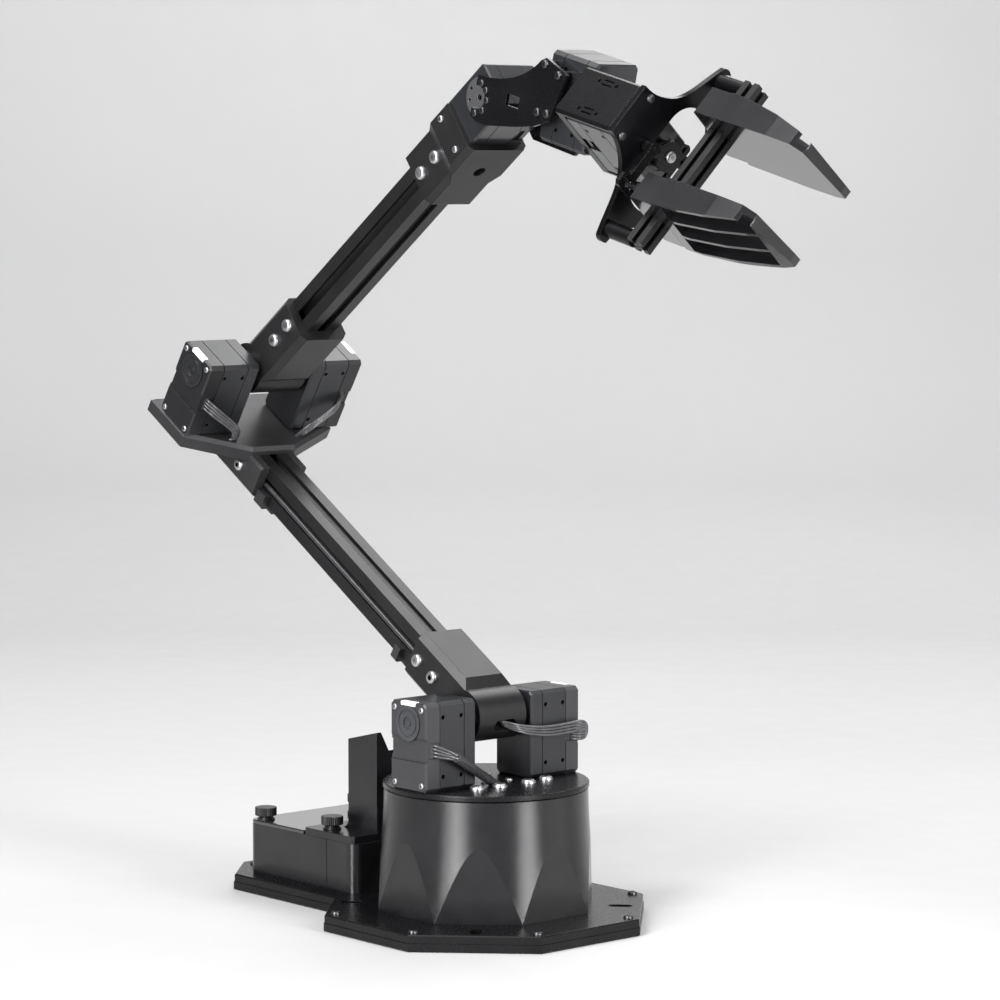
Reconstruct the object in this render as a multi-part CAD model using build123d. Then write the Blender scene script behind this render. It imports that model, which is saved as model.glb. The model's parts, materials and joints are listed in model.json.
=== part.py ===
"""Tabletop robot arm with six driven joints and a two-finger gripper, in its photographed pose.

Millimetres, +Z up, +X forward. The origin is on the table, under the waist axis.
"""
import os
from math import atan, cos, degrees, pi, radians, sin, tan

from build123d import *

# Pose of the photograph, in degrees about +Y unless named otherwise
SHOULDER_TILT = -57.9
ELBOW_TILT = -36.03
WRIST_TILT = 14.2
GRIPPER_ROLL = 52.3
CRANK_REST = -69.5

# Clearances
RUN_GAP = 0.3
SLIDE_GAP = 0.25
FIT_GAP = 0.08
CUT = 1.0
PEG_SIDES = 8
HEAD_SIDES = 12

# Servo motor: long and short end from the horn axis, width, depth along the axis
SERVO_LONG = 35.25
SERVO_SHORT = 11.25
SERVO_W = 28.5
SERVO_D = 34.0
SERVO_BACK = 9.6
SERVO_FRONT = 8.0
SERVO_EDGE = 2.0
SERVO_RIM = 0.8
SEAM_DEEP = 0.5
SEAM_W = 0.5
CAP_R = 9.3
CAP_RISE = 0.5
CAP_SEAT = 0.8
CAP_GAP = 0.2
CAP_RING_R = 7.4
CAP_RING_IN = 6.4
CAP_DISH_R = 3.4
CAP_GROOVE = 0.4
CAP_DISH_DEEP = 0.2
CAP_SCREW_OUT = 0.3
HORN_R = 10.5
HORN_T = 3.0
HORN_HOLES = 8
HORN_SEAT_IN = 1.5
HORN_RING_R = 8.0
HORN_HOLE_R = 0.9
HORN_CENTRE_R = 1.6
CASE_SCREW_IN = 3.6
CASE_SCREW_LEN = 3.0
SIDE_HOLE_R = 1.15
SIDE_HOLE_DEEP = 3.0
SIDE_HOLE_IN = 7.75
SIDE_HOLE_UP = 2.1

# Plug recess in a servo's side
PLUG_X = 13.4
PLUG_LONG = 8.4
PLUG_THICK = 3.4
PLUG_BACK = 4.0
PLUG_DEEP = 2.0
PLUG_LIP = 0.8
BAND_DEEP = 1.0
BAND_OVER = 2.1

# Screws: head radius, head height and shank radius
CASE_SCREW = (1.6, 0.7, 0.9)
PLATE_SCREW = (2.6, 1.5, 1.25)
DISC_SCREW = (3.75, 2.0, 1.5)
BRACKET_SCREW = (3.7, 2.1, 1.5)
CLAMP_SCREW = (3.4, 1.9, 1.5)
SIDE_SCREW = (1.9, 1.0, 0.9)
HORN_SCREW = (1.9, 1.1, 0.9)
SPACER_SCREW = (2.3, 1.5, 1.2)
CRANK_SCREW = (3.1, 1.7, 1.5)

# Base plates
EIGHTH = tan(radians(22.5))
PLATE_HALF = 82.5
PLATE_LAYER = 4.45
PLATE_LIP = 0.4
PLATE_BEVEL = 0.6
PLATE_TOP = 2 * PLATE_LAYER
PLATE_SCREW_IN = 6.0
PLATE_SCREW_SIDE = 2.7
PLATE_SCREW_FLOOR = 1.2
TAIL_HALF = 50.0
TAIL_END = -180.0
TAIL_CUT = 25.0
TAIL_SCREW_IN = 10.0
TAIL_SCREW_Y = 24.0
SLOT_IN = 11.5
SLOT_LEN = 12.7
SLOT_W = 6.0

# Drum and turntable
DRUM_TOP_R = 54.0
DRUM_FLARE = 5.6
DRUM_BULGE = 1.0
DRUM_TOP = 72.0
DRUM_WALL = 4.0
DRUM_ARCH = 0.62
DRUM_FOOT_R = DRUM_TOP_R + DRUM_FLARE
FLAT_R = DRUM_TOP_R + DRUM_BULGE
HORN_ROOM = 1.5
DISC_OVER = 1.2
DISC_T = 3.1
DISC_BEVEL = 0.5
DISC_LOW = DRUM_TOP + RUN_GAP
DISC_HIGH = DISC_LOW + DISC_T
DISC_SCREW_X = 22.5
DISC_SCREW_Y = 10.0
FOOT_SCREW_X = 20.5
FOOT_SCREW_Y = 24.0
HUB_SCREW_XY = 8.6
DISC_HOLE_X = -24.0
DISC_HOLE_R = 4.0
SHOULDER_Z = DISC_HIGH + SERVO_LONG

# Electronics box and rest post
BOX_CLEAR = 5.4
BOX_LEN = 92.5
BOX_FRONT = -(DRUM_FOOT_R + BOX_CLEAR)
BOX_BACK = BOX_FRONT - BOX_LEN
BOX_HALF = 37.7
BOX_TOP = 36.0
BOX_WALL = 2.4
BOX_CORNER = 6.0
BOX_SEAM_IN = 23.0
BOX_SEAM_W = 0.6
LID_T = 2.0
LID_BEVEL = 0.5
LID_GAP = 0.5
FLANGE_T = 4.0
FLANGE_LEN = 17.7
FLANGE_BEVEL = 1.5
POST_IN = 0.7
POST_THICK = 24.3
POST_FRONT = BOX_FRONT - POST_IN
POST_BACK = POST_FRONT - POST_THICK
FLANGE_BACK = POST_BACK - FLANGE_LEN
POST_HALF = 20.8
POST_WALL = 4.5
POST_FILLET = 5.0
POST_TOP_BACK = 88.8
POST_TOP_FRONT = 94.7
SADDLE_DEEP = 10.0
SADDLE_HALF = 12.4
SADDLE_SPLAY = 5.9
THUMB_R = 6.0
THUMB_H = 4.7
THUMB_COLLAR_R = 4.35
THUMB_COLLAR_H = 2.5
THUMB_SHANK_R = 1.5
THUMB_SHANK_LEN = 11.0
THUMB_BACK_IN = 9.5
THUMB_BACK_SIDE = 5.0
THUMB_FRONT_IN = 3.0
THUMB_FRONT_SIDE = 8.0
THUMB_TEETH = 18
THUMB_TOOTH = 0.35
THUMB_HOLLOW_R = 2.2
BOX_BOSS_R = 4.2
WIRE_WAY_HALF = 9.0
WIRE_WAY_LOW = 6.0
WIRE_WAY_H = 10.0
SOCKET_Z = 22.0
POWER_Y = 16.0
POWER_R = 4.0
POWER_BORE_R = 2.8
POWER_PIN_R = 1.0
POWER_LEN = 12.0
POWER_OUT = 1.5
DATA_Y = -16.0
DATA_W = 12.0
DATA_H = 6.0
DATA_WALL = 1.0
DATA_LEN = 8.0
DATA_OUT = 0.5
DATA_DROP = 1.0
DATA_TONGUE = 0.4
BOARD_LEN = 65.0
BOARD_W = 48.0
BOARD_T = 1.6
BOARD_IN = 10.0

# Parts on the board: distance from its front, y, length, width and height
BOARD_PARTS = ((43, 0, 14, 14, 2), (20, -12, 10, 8, 6), (19, 10, 12, 9, 8), (4, 0, 6, 22, 5))

# Slotted bars and their brackets
BAR = 20.0
BAR_SLOT = 6.0
BAR_LIP = 1.8
BAR_CAVITY = 11.0
BAR_EDGE = 1.2
BAR_DEEP = 6.1
BAR_BORE = 2.1
BAR_START = 24.0
BRACKET_HALF = 16.0
BRACKET_BACK = 12.0
BRACKET_FACE = 16.0
BRACKET_END = 51.0
BRACKET_BOSS = 14.0
BRACKET_BEVEL = 3.5
BRACKET_SHELF = 12.0
BRACKET_NECK = 5.0
BRACKET_NOSE = 1.5
BRACKET_BORE_R = 4.0
BRACKET_SCREW_X = 2.0
BRACKET_SCREW_END = 6.0
BRACKET_SCREW_STEP = 14.5
EXIT_X = 2.4
EXIT_Y = 2.0
EXIT_LEN = 15.0
EXIT_W = 6.4
EXIT_DEEP = 11.0
SERVO_MID_Y = BRACKET_HALF + HORN_T + RUN_GAP + SERVO_D / 2
DISC_R = BRACKET_HALF + HORN_T + RUN_GAP + SERVO_D + DISC_OVER

# Upper arm and elbow plate
ELBOW_Z = 250.0
ELBOW_PLATE_FACE = 14.5
ELBOW_PLATE_T = 8.5
ELBOW_X = ELBOW_PLATE_FACE + SERVO_LONG
ELBOW_PLATE_HALF = 52.0
ELBOW_PLATE_UP = 25.0
ELBOW_PLATE_LOW = 11.0
ELBOW_PLATE_DIP = 17.5
ELBOW_PLATE_NOSE = 15.0
ELBOW_PLATE_BEVEL = 2.0
CLAMP_START = 209.0
CLAMP_LEN = 43.0
CLAMP_BACK = 9.0
CLAMP_WALL = 6.0
CLAMP_BEVEL = 1.5
CLAMP_SCREW_UP = 18.0
CLAMP_SCREW_STEP = 14.0
UPPER_BAR_OVER = 1.0
UPPER_BAR_END = CLAMP_START + CLAMP_LEN + UPPER_BAR_OVER
CLIP_LOW = 62.0
CLIP_LOW_LEN = 5.0
CLIP_HIGH_LEN = 7.8
CLIP_T = 2.5
CLIP_SIDE = 3.5
CLIP_HOOK = 1.7
CLIP_EYE_R = 2.6
CLIP_EYE_X = 4.2
CLIP_EYE_Y = -3.0
CLIP_BEVEL = 1.2
CLIP_REACH = 4.0
CLIP_LAP = 6.0

# Forearm and wrist
WRIST_X = 250.0
FORE_BAR_END = 205.0
FORE_CLAMP_START = 181.0
FORE_CLAMP_WALL = 6.0
FORE_FLOOR = 3.75
FORE_OPEN = 2.25
FORE_LOW = SERVO_W / 2 + FORE_FLOOR
FORE_HIGH = SERVO_W / 2 - FORE_OPEN
FORE_WIRE_R = 3.5
FORE_CHEEK_WALL = 3.0
FORE_CHEEK_END = 21.0
FORE_FLARE = 7.0
FORE_BEVEL = 3.0
FORE_SCREW_Z = -2.0
FORE_SCREW_IN = 6.0
FORE_SCREW_STEP = 14.0
CHEEK_SCREW_X = 30.0
CHEEK_SCREW_HIGH = 8.5
CHEEK_SCREW_LOW = -11.0
CHEEK_SCREW_LEN = 1.5
SERVO_POCKET_END = 10.0
WRIST_HORN_T = 1.5
SIDE_PLATE_T = 2.0
SIDE_PLATE_IN = SERVO_D / 2 + RUN_GAP + WRIST_HORN_T
SIDE_PLATE_OUT = SIDE_PLATE_IN + SIDE_PLATE_T
HORN_OPENING_R = 6.2
HORN_GATE = 5.5
HORN_SCREW_R = 8.2
PLATE_WINDOW_X = (22.5, 32.5)
PLATE_WINDOW_Z = (1.5, 7.5)
SPACER_R = 2.4
ROLL_BACK = 44.0
ROLL_SERVO_MID = ROLL_BACK + SERVO_D / 2

# Gripper, measured along its axis from the wrist
ROLL_HORN_T = 2.7
GRIP_FRAME_IN = 0.4
GRIP_FRAME_T = 5.3
GRIP_RIM = 3.0
GRIP_BEVEL = 1.5
MARK_Y = 8.7
MARK_LEN = 7.0
MARK_W = 1.0
MARK_STEP = 2.6
MARK_END = 6.3
MARK_DEEP = 1.2
ROLL_HORN_END = ROLL_SERVO_MID + SERVO_D / 2 + RUN_GAP + ROLL_HORN_T
GRIP_FRAME_BACK = ROLL_SERVO_MID + SERVO_D / 2 + RUN_GAP + GRIP_FRAME_IN
GRIP_SERVO_MID = GRIP_FRAME_BACK + GRIP_FRAME_T + SERVO_D / 2
WING_GAP = 1.0
WING_BACK = GRIP_SERVO_MID + SERVO_D / 2 + WING_GAP
WING_T = 3.0
WING_WINDOW_HALF = 14.0
WING_WINDOW_R = 15.5
WING_WINDOW_Z = -4.0
WING_SCREW_Y = 11.8
WING_SCREW_Z = 31.0
RAIL = 10.0
RAIL_SLOT = 3.0
RAIL_SLOT_DEEP = 2.6
RAIL_CAVITY = 4.2
RAIL_LIP = 1.2
RAIL_CAVITY_H = 1.4
RAIL_BORE_R = 0.9
RAIL_LEN = 100.0
RAIL_OFF = 23.5
RAIL_AXIS = WING_BACK + WING_T + RAIL_OFF
RAIL_BACK = RAIL_AXIS - RAIL / 2
STANDOFF_IN = 3.0
STANDOFF_Y = RAIL_LEN / 2 - STANDOFF_IN
STANDOFF_R = 4.3
STUD_R = 1.5
CRANK_ARM = 15.0
CRANK_GAP = 0.6
CRANK_T = 2.8
CRANK_BACK = WING_BACK + WING_T + CRANK_GAP
CRANK_HUB_R = 8.0
CRANK_END_R = 3.6
CRANK_NECK_R = 7.0
CRANK_HOLE_R = 1.0
CRANK_HOLE_AT = 9.0
LINK_LEN = 22.0
LINK_GAP = 0.5
LINK_T = 2.4
LINK_HALF = 2.6
LINK_END_R = 3.4
LINK_WALL = 1.7
LINK_BEVEL = 1.6
LINK_BACK = CRANK_BACK + CRANK_T + LINK_GAP
PIN_R = 1.5
PIN_OVER = 1.0
EYE_GAP = 0.9
EYE_HALF = 3.5
SLIDE_PER_RAD = 13.5
CARRIAGE_HALF = 7.8
CARRIAGE_RZ = 18.0
CARRIAGE_UNDER = 3.0
CARRIAGE_OVER = 3.0
CARRIAGE_BEVEL = 1.2
CARRIAGE_PIN_Z = -11.9
CARRIAGE_BOSS_R = 3.2
CARRIAGE_BOSS = 3.5
FINGER_FACE = 18.7
FINGER_ROOT = RAIL_AXIS + RAIL / 2 + CARRIAGE_OVER
FINGER_LEN = 67.5
FINGER_ROOT_T = 15.9
RIB_PITCH = 12.6
CHANNEL_HALF = 5.4
CHANNEL_START = 6.5
CHANNEL_END = 8.0
CHANNEL_BEND = 21.0
CHANNEL_FLOOR_ROOT = 8.3
CHANNEL_FLOOR_BEND = 3.8
CHANNEL_FLOOR_TIP = 2.8

# Cables
ARC_SHARE = 0.45
WIRE_R = 0.7
WIRE_PITCH = 1.9
SLEEVE_R = 2.5
ARM_CABLE_R = 1.5
ARM_CABLE_X = -1.3
ARM_CABLE_Y = -8.4
FAN = (-1.5, -0.5, 0.5, 1.5)


# Frames of the links, each with its origin at its own joint
base = Location((0, 0, 0))
upper = Pos(0, 0, SHOULDER_Z) * Rot(0, SHOULDER_TILT, 0)
elbow_point = (upper * Pos(ELBOW_X, 0, ELBOW_Z)).position
fore = Pos(*elbow_point) * Rot(0, ELBOW_TILT, 0)
wrist_point = (fore * Pos(WRIST_X, 0, 0)).position
wrist = Pos(*wrist_point) * Rot(0, WRIST_TILT, 0)
grip = wrist * Rot(GRIPPER_ROLL, 0, 0)


# Plain solids along one axis


def block(xs, ys, zs):
    """Block between two x, two y and two z values."""
    size = [b - a for a, b in (xs, ys, zs)]
    mid = [(a + b) / 2 for a, b in (xs, ys, zs)]
    return Pos(*mid) * Box(*size)


def rod_x(radius, xs, y=0.0, z=0.0):
    """Round bar along x."""
    return Pos((xs[0] + xs[1]) / 2, y, z) * Rot(0, 90, 0) * Cylinder(radius, xs[1] - xs[0])


def rod_y(radius, ys, x=0.0, z=0.0):
    """Round bar along y."""
    return Pos(x, (ys[0] + ys[1]) / 2, z) * Rot(90, 0, 0) * Cylinder(radius, ys[1] - ys[0])


def rod_z(radius, zs, x=0.0, y=0.0):
    """Round bar along z."""
    return Pos(x, y, (zs[0] + zs[1]) / 2) * Cylinder(radius, zs[1] - zs[0])


def bore(radius, length):
    """Small hole along z round the origin: its flats clear a shank of the radius."""
    corner = radius / cos(pi / PEG_SIDES)
    return Pos(0, 0, -length / 2) * extrude(RegularPolygon(corner, PEG_SIDES), length)


def bore_x(radius, xs, y=0.0, z=0.0):
    """Small hole along x."""
    return Pos((xs[0] + xs[1]) / 2, y, z) * Rot(0, 90, 0) * bore(radius, xs[1] - xs[0])


def bore_y(radius, ys, x=0.0, z=0.0):
    """Small hole along y."""
    return Pos(x, (ys[0] + ys[1]) / 2, z) * Rot(90, 0, 0) * bore(radius, ys[1] - ys[0])


def bore_z(radius, zs, x=0.0, y=0.0):
    """Small hole along z."""
    return Pos(x, y, (zs[0] + zs[1]) / 2) * bore(radius, zs[1] - zs[0])


def flat_y(face, ys):
    """Flat face in x and z, stretched between two y values."""
    plane = Plane(origin=(0, ys[1], 0), x_dir=(1, 0, 0), z_dir=(0, -1, 0))
    return extrude(plane * face, ys[1] - ys[0])


def flat_x(face, xs):
    """Flat face in y and z, stretched between two x values."""
    plane = Plane(origin=(xs[0], 0, 0), x_dir=(0, 1, 0), z_dir=(1, 0, 0))
    return extrude(plane * face, xs[1] - xs[0])


def outline(points):
    """Flat face inside straight edges."""
    return make_face(Polyline(*points, close=True))


def prism_z(points, zs):
    """Outline in x and y, raised between two heights."""
    return Pos(0, 0, zs[0]) * extrude(outline(points), zs[1] - zs[0])


def prism_y(points, ys):
    """Outline in x and z, stretched between two y values."""
    return flat_y(outline(points), ys)


def prism_x(points, xs):
    """Outline in y and z, stretched between two x values."""
    return flat_x(outline(points), xs)


def group(solids):
    """Several separate solids as one node."""
    return Compound(children=[s for item in solids for s in item.solids()])


def both_sides(points):
    """The points and their mirror images across y = 0."""
    return [(x, side * y) for x, y in points for side in (-1, 1)]


# Screws


def button_screw(size, shank_len):
    """Button-head screw: the head sits on z = 0 and the shank goes down."""
    head_r, head_h, shank_r = size
    low = extrude(RegularPolygon(head_r, HEAD_SIDES), head_h / 2)
    crown = Pos(0, 0, head_h / 2) * extrude(RegularPolygon(head_r, HEAD_SIDES), head_h / 2, taper=45)
    shank = Pos(0, 0, -shank_len) * extrude(RegularPolygon(shank_r, PEG_SIDES), shank_len)
    return low + crown + shank


def screws_at(spots, frame, size, shank_len):
    """Screws of one size; each spot is a point and the way its head faces, in a link's frame."""
    screw = button_screw(size, shank_len)
    return group([frame * Plane(origin=at, z_dir=way).location * screw for at, way in spots])


# Cords


def arcs_of(knots):
    """Largest arc that the two runs at each corner of a route leave room for."""
    runs = [b - a for a, b in zip(knots, knots[1:])]
    radii = []
    for before, after in zip(runs, runs[1:]):
        half_turn = radians(before.get_angle(after)) / 2
        radii.append(ARC_SHARE * min(before.length, after.length) / tan(half_turn))
    return radii


def cord(points, radius):
    """Round cord along straight runs that join in arcs."""
    knots = [Vector(*p) for p in points]
    if len(knots) == 2:
        path = Line(*knots)
        radii = []
    else:
        radii = arcs_of(knots)
        path = FilletPolyline(*knots, radius=radii)
    body = sweep(Plane(origin=path @ 0, z_dir=path % 0) * Circle(radius), path=path)
    filled = body.volume / (pi * radius**2 * path.length)
    print("cord", round(path.length, 1), [round(r, 1) for r in radii], round(filled, 4))
    return body


def strands(routes, radius):
    """Wires that run side by side, each along a route of its own."""
    return [cord(points, radius) for points in routes]


# Slotted profile


def bar_profile():
    """Square slotted profile section."""
    mouth = BAR / 2 - BAR_LIP
    floor = BAR / 2 - BAR_DEEP
    wide = BAR_CAVITY / 2
    narrow = wide - (mouth - floor) + BAR_EDGE
    lip = Pos(0, BAR / 2 - BAR_LIP / 2) * Rectangle(BAR_SLOT, BAR_LIP)
    right = [(wide, mouth), (wide, mouth - BAR_EDGE), (narrow, floor)]
    cavity = outline(right + [(-x, y) for x, y in reversed(right)])
    section = Rectangle(BAR, BAR)
    for n in range(4):
        section -= Rot(0, 0, 90 * n) * (lip + cavity)
    return section - Circle(BAR_BORE)


def slotted_bar(start, end):
    """Slotted profile along z."""
    return Pos(0, 0, start) * extrude(bar_profile(), end - start)


# Servo motor: horn axis along z, short end towards +x, back at the bottom

SERVO_TOP = SERVO_D / 2
SERVO_FLOOR = -SERVO_D / 2
CASE_SCREWS = both_sides(
    [(x, SERVO_W / 2 - CASE_SCREW_IN) for x in (CASE_SCREW_IN - SERVO_LONG, SERVO_SHORT - CASE_SCREW_IN)]
)


def servo_place(frame, at, long_way, horn_way):
    """Where a servo stands: its horn axis at a point, its short end along one way."""
    return frame * Plane(origin=at, x_dir=long_way, z_dir=horn_way).location


def servo_seam(z):
    """Groove round a servo where two layers of its case meet."""
    xs = (-SERVO_LONG - CUT, SERVO_SHORT + CUT)
    ys = (-SERVO_W / 2 - CUT, SERVO_W / 2 + CUT)
    ring = block(xs, ys, (z - SEAM_W / 2, z + SEAM_W / 2))
    inner = block(
        (SEAM_DEEP - SERVO_LONG, SERVO_SHORT - SEAM_DEEP),
        (SEAM_DEEP - SERVO_W / 2, SERVO_W / 2 - SEAM_DEEP),
        (z - SEAM_W, z + SEAM_W),
    )
    return ring - chamfer(inner.edges().filter_by(Axis.Z), SERVO_EDGE)


def plug_recess(side):
    """Recess for the plug in one side of a servo, with the notch above it."""
    xs = (-PLUG_X - PLUG_LONG / 2, -PLUG_X + PLUG_LONG / 2)
    low = SERVO_FLOOR + PLUG_BACK
    recess = block(xs, (-PLUG_DEEP, PLUG_DEEP), (low, low + PLUG_THICK))
    notch = block(xs, (-PLUG_LIP, PLUG_LIP), (SERVO_FLOOR, SERVO_FLOOR + SERVO_BACK))
    return Pos(0, side * SERVO_W / 2, 0) * (recess + notch)


def side_holes(side):
    """Four screw holes in one side of a servo."""
    made = []
    for x in (SIDE_HOLE_IN - SERVO_LONG, SERVO_SHORT - SIDE_HOLE_IN):
        for z in (SERVO_FLOOR + SERVO_BACK + SIDE_HOLE_UP, SERVO_TOP - SERVO_FRONT - SIDE_HOLE_UP):
            ys = sorted((side * SERVO_W / 2 + side * CUT, side * SERVO_W / 2 - side * SIDE_HOLE_DEEP))
            made.append(bore_y(SIDE_HOLE_R, ys, x, z))
    return made


def servo_case():
    """Servo case: three moulded layers, bevelled edges, a plug recess and side screw holes."""
    half = SERVO_W / 2
    case = block((-SERVO_LONG, SERVO_SHORT), (-half, half), (SERVO_FLOOR, SERVO_TOP))
    case = chamfer(case.edges().filter_by(Axis.Z), SERVO_EDGE)
    rims = case.edges().group_by(Axis.Z)
    case = chamfer(rims[0] + rims[-1], SERVO_RIM)
    case -= servo_seam(SERVO_FLOOR + SERVO_BACK)
    case -= servo_seam(SERVO_TOP - SERVO_FRONT)
    band = PLUG_LONG / 2 + BAND_OVER
    band_x = (-PLUG_X - band, -PLUG_X + band)
    case -= block(band_x, (-half - CUT, half + CUT), (SERVO_FLOOR - CUT, SERVO_FLOOR + BAND_DEEP))
    for side in (-1, 1):
        case -= plug_recess(side)
        for hole in side_holes(side):
            case -= hole
    for x, y in CASE_SCREWS:
        case -= bore_z(CASE_SCREW[2], (SERVO_FLOOR - CUT, SERVO_FLOOR + CASE_SCREW_LEN), x, y)
    case -= rod_z(CAP_R + CAP_GAP, (SERVO_FLOOR - CUT, SERVO_FLOOR + CAP_SEAT))
    return case - rod_z(HORN_R - HORN_SEAT_IN, (SERVO_TOP - SERVO_RIM, SERVO_TOP + CUT))


def servo_cap():
    """Back bearing cap of a servo, with a ring groove and a dish for the centre screw."""
    cap = rod_z(CAP_R, (SERVO_FLOOR - CAP_RISE, SERVO_FLOOR + CAP_SEAT))
    low = SERVO_FLOOR - CAP_RISE - CUT
    groove = SERVO_FLOOR - CAP_RISE + CAP_GROOVE
    cap -= rod_z(CAP_RING_R, (low, groove)) - rod_z(CAP_RING_IN, (low, groove))
    cap -= rod_z(CAP_DISH_R, (low, SERVO_FLOOR + CAP_DISH_DEEP))
    return cap + rod_z(CASE_SCREW[0], (SERVO_FLOOR - CAP_SCREW_OUT, SERVO_FLOOR + CAP_SEAT))


def servo_screws():
    """Four case screws in the back of a servo."""
    screw = button_screw(CASE_SCREW, CASE_SCREW_LEN)
    return [Plane(origin=(x, y, SERVO_FLOOR), z_dir=(0, 0, -1)).location * screw for x, y in CASE_SCREWS]


def horn_disc(low, high):
    """Output disc of a servo with a ring of holes and a centre hole."""
    disc = rod_z(HORN_R, (low, high))
    for n in range(HORN_HOLES):
        a = 2 * pi * (n + 0.5) / HORN_HOLES
        disc -= bore_z(HORN_HOLE_R, (low - CUT, high + CUT), HORN_RING_R * cos(a), HORN_RING_R * sin(a))
    return disc - bore_z(HORN_CENTRE_R, (low - CUT, high + CUT))


# Base


def plate_outline(inset):
    """Octagon with a tail behind it."""
    h = PLATE_HALF - inset
    c = h * EIGHTH
    t = TAIL_HALF - inset
    end = TAIL_END + inset
    join = -(h + c - t)
    cut = TAIL_CUT - inset * EIGHTH
    right = [(h, c), (c, h), (-c, h), (join, t), (end + TAIL_CUT, t), (end, cut)]
    return right + [(x, -y) for x, y in reversed(right)]


PLATE_EDGE = PLATE_HALF - PLATE_SCREW_IN
PLATE_SIDE = PLATE_HALF * EIGHTH - PLATE_SCREW_SIDE
PLATE_SCREWS = both_sides(
    [
        (PLATE_EDGE, PLATE_SIDE),
        (PLATE_SIDE, PLATE_EDGE),
        (-PLATE_SIDE, PLATE_EDGE),
        (TAIL_END + TAIL_SCREW_IN, TAIL_SCREW_Y),
    ]
)


def with_plate_holes(plate, low, high, screw_low):
    """A base plate with its bolt slots on the diagonals and its screw holes."""
    slot = extrude(SlotOverall(SLOT_LEN, SLOT_W), high - low + 2 * CUT)
    for n in range(4):
        plate -= Rot(0, 0, 45 + 90 * n) * Pos(PLATE_HALF - SLOT_IN, 0, low - CUT) * slot
    for x, y in PLATE_SCREWS:
        plate -= bore_z(PLATE_SCREW[2], (screw_low, high + CUT), x, y)
    return plate


def base_plate_lower():
    plate = prism_z(plate_outline(0), (0, PLATE_LAYER))
    plate = chamfer(plate.edges().group_by(Axis.Z)[0], PLATE_BEVEL)
    return with_plate_holes(plate, 0, PLATE_LAYER, PLATE_SCREW_FLOOR)


def base_plate_upper():
    plate = prism_z(plate_outline(PLATE_LIP), (PLATE_LAYER, PLATE_TOP))
    plate = chamfer(plate.edges().group_by(Axis.Z)[-1], PLATE_BEVEL)
    return with_plate_holes(plate, PLATE_LAYER, PLATE_TOP, PLATE_LAYER - CUT)


def plate_screws():
    spots = [((x, y, PLATE_TOP), (0, 0, 1)) for x, y in PLATE_SCREWS]
    return screws_at(spots, base, PLATE_SCREW, PLATE_TOP - PLATE_SCREW_FLOOR)


def wire_way(xs):
    """Opening for the wires between the drum and the electronics box."""
    low = PLATE_TOP + WIRE_WAY_LOW
    return block(xs, (-WIRE_WAY_HALF, WIRE_WAY_HALF), (low, low + WIRE_WAY_H))


def base_drum():
    """Round housing cut by eight flats, so that each flat ends in an arch."""
    foot = PLATE_TOP
    height = DRUM_TOP - foot
    curve = Spline((DRUM_FOOT_R, foot), (FLAT_R, foot + DRUM_ARCH * height), (DRUM_TOP_R, DRUM_TOP))
    edges = curve + Polyline((DRUM_TOP_R, DRUM_TOP), (0, DRUM_TOP), (0, foot), (DRUM_FOOT_R, foot))
    drum = revolve(Plane.XZ * make_face(edges), Axis.Z)
    flats = RegularPolygon(FLAT_R / cos(pi / 8), 8)
    drum = drum & extrude(Pos(0, 0, foot) * Rot(0, 0, 22.5) * flats, height)
    inner = DRUM_TOP_R - DRUM_WALL
    ceiling = DRUM_TOP - DRUM_WALL
    drum -= rod_z(inner, (foot - CUT, ceiling))
    drum -= rod_z(HORN_R + HORN_ROOM, (ceiling - CUT, DRUM_TOP + CUT))
    return drum - wire_way((-DRUM_FOOT_R - CUT, CUT - inner))


def waist_place():
    return servo_place(base, (0, 0, DRUM_TOP - DRUM_WALL - SERVO_D / 2), (1, 0, 0), (0, 0, 1))


def waist_horn():
    return horn_disc(DRUM_TOP - DRUM_WALL + RUN_GAP, DISC_LOW)


# Electronics box and rest post

THUMB_BACK = (BOX_BACK + THUMB_BACK_IN, BOX_HALF - THUMB_BACK_SIDE)
THUMB_FRONT = (POST_BACK - THUMB_FRONT_IN, BOX_HALF - THUMB_FRONT_SIDE)
BOX_BORE = THUMB_SHANK_LEN + CUT


def box_outline(grow=0.0):
    """Rounded rectangle of the electronics box."""
    size = (BOX_LEN + 2 * grow, 2 * (BOX_HALF + grow))
    return Pos((BOX_FRONT + BOX_BACK) / 2, 0) * RectangleRounded(*size, BOX_CORNER + grow)


def power_bore(radius, xs):
    """Round solid on the axis of the power socket."""
    return rod_x(radius, (BOX_BACK + xs[0], BOX_BACK + xs[1]), POWER_Y, SOCKET_Z)


def data_block(xs, inset):
    """Block on the axis of the data socket, inset from its outside."""
    half_w = DATA_W / 2 - inset
    half_h = DATA_H / 2 - inset
    ys = (DATA_Y - half_w, DATA_Y + half_w)
    zs = (SOCKET_Z - DATA_DROP - half_h, SOCKET_Z - DATA_DROP + half_h)
    return block((BOX_BACK + xs[0], BOX_BACK + xs[1]), ys, zs)


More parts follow.
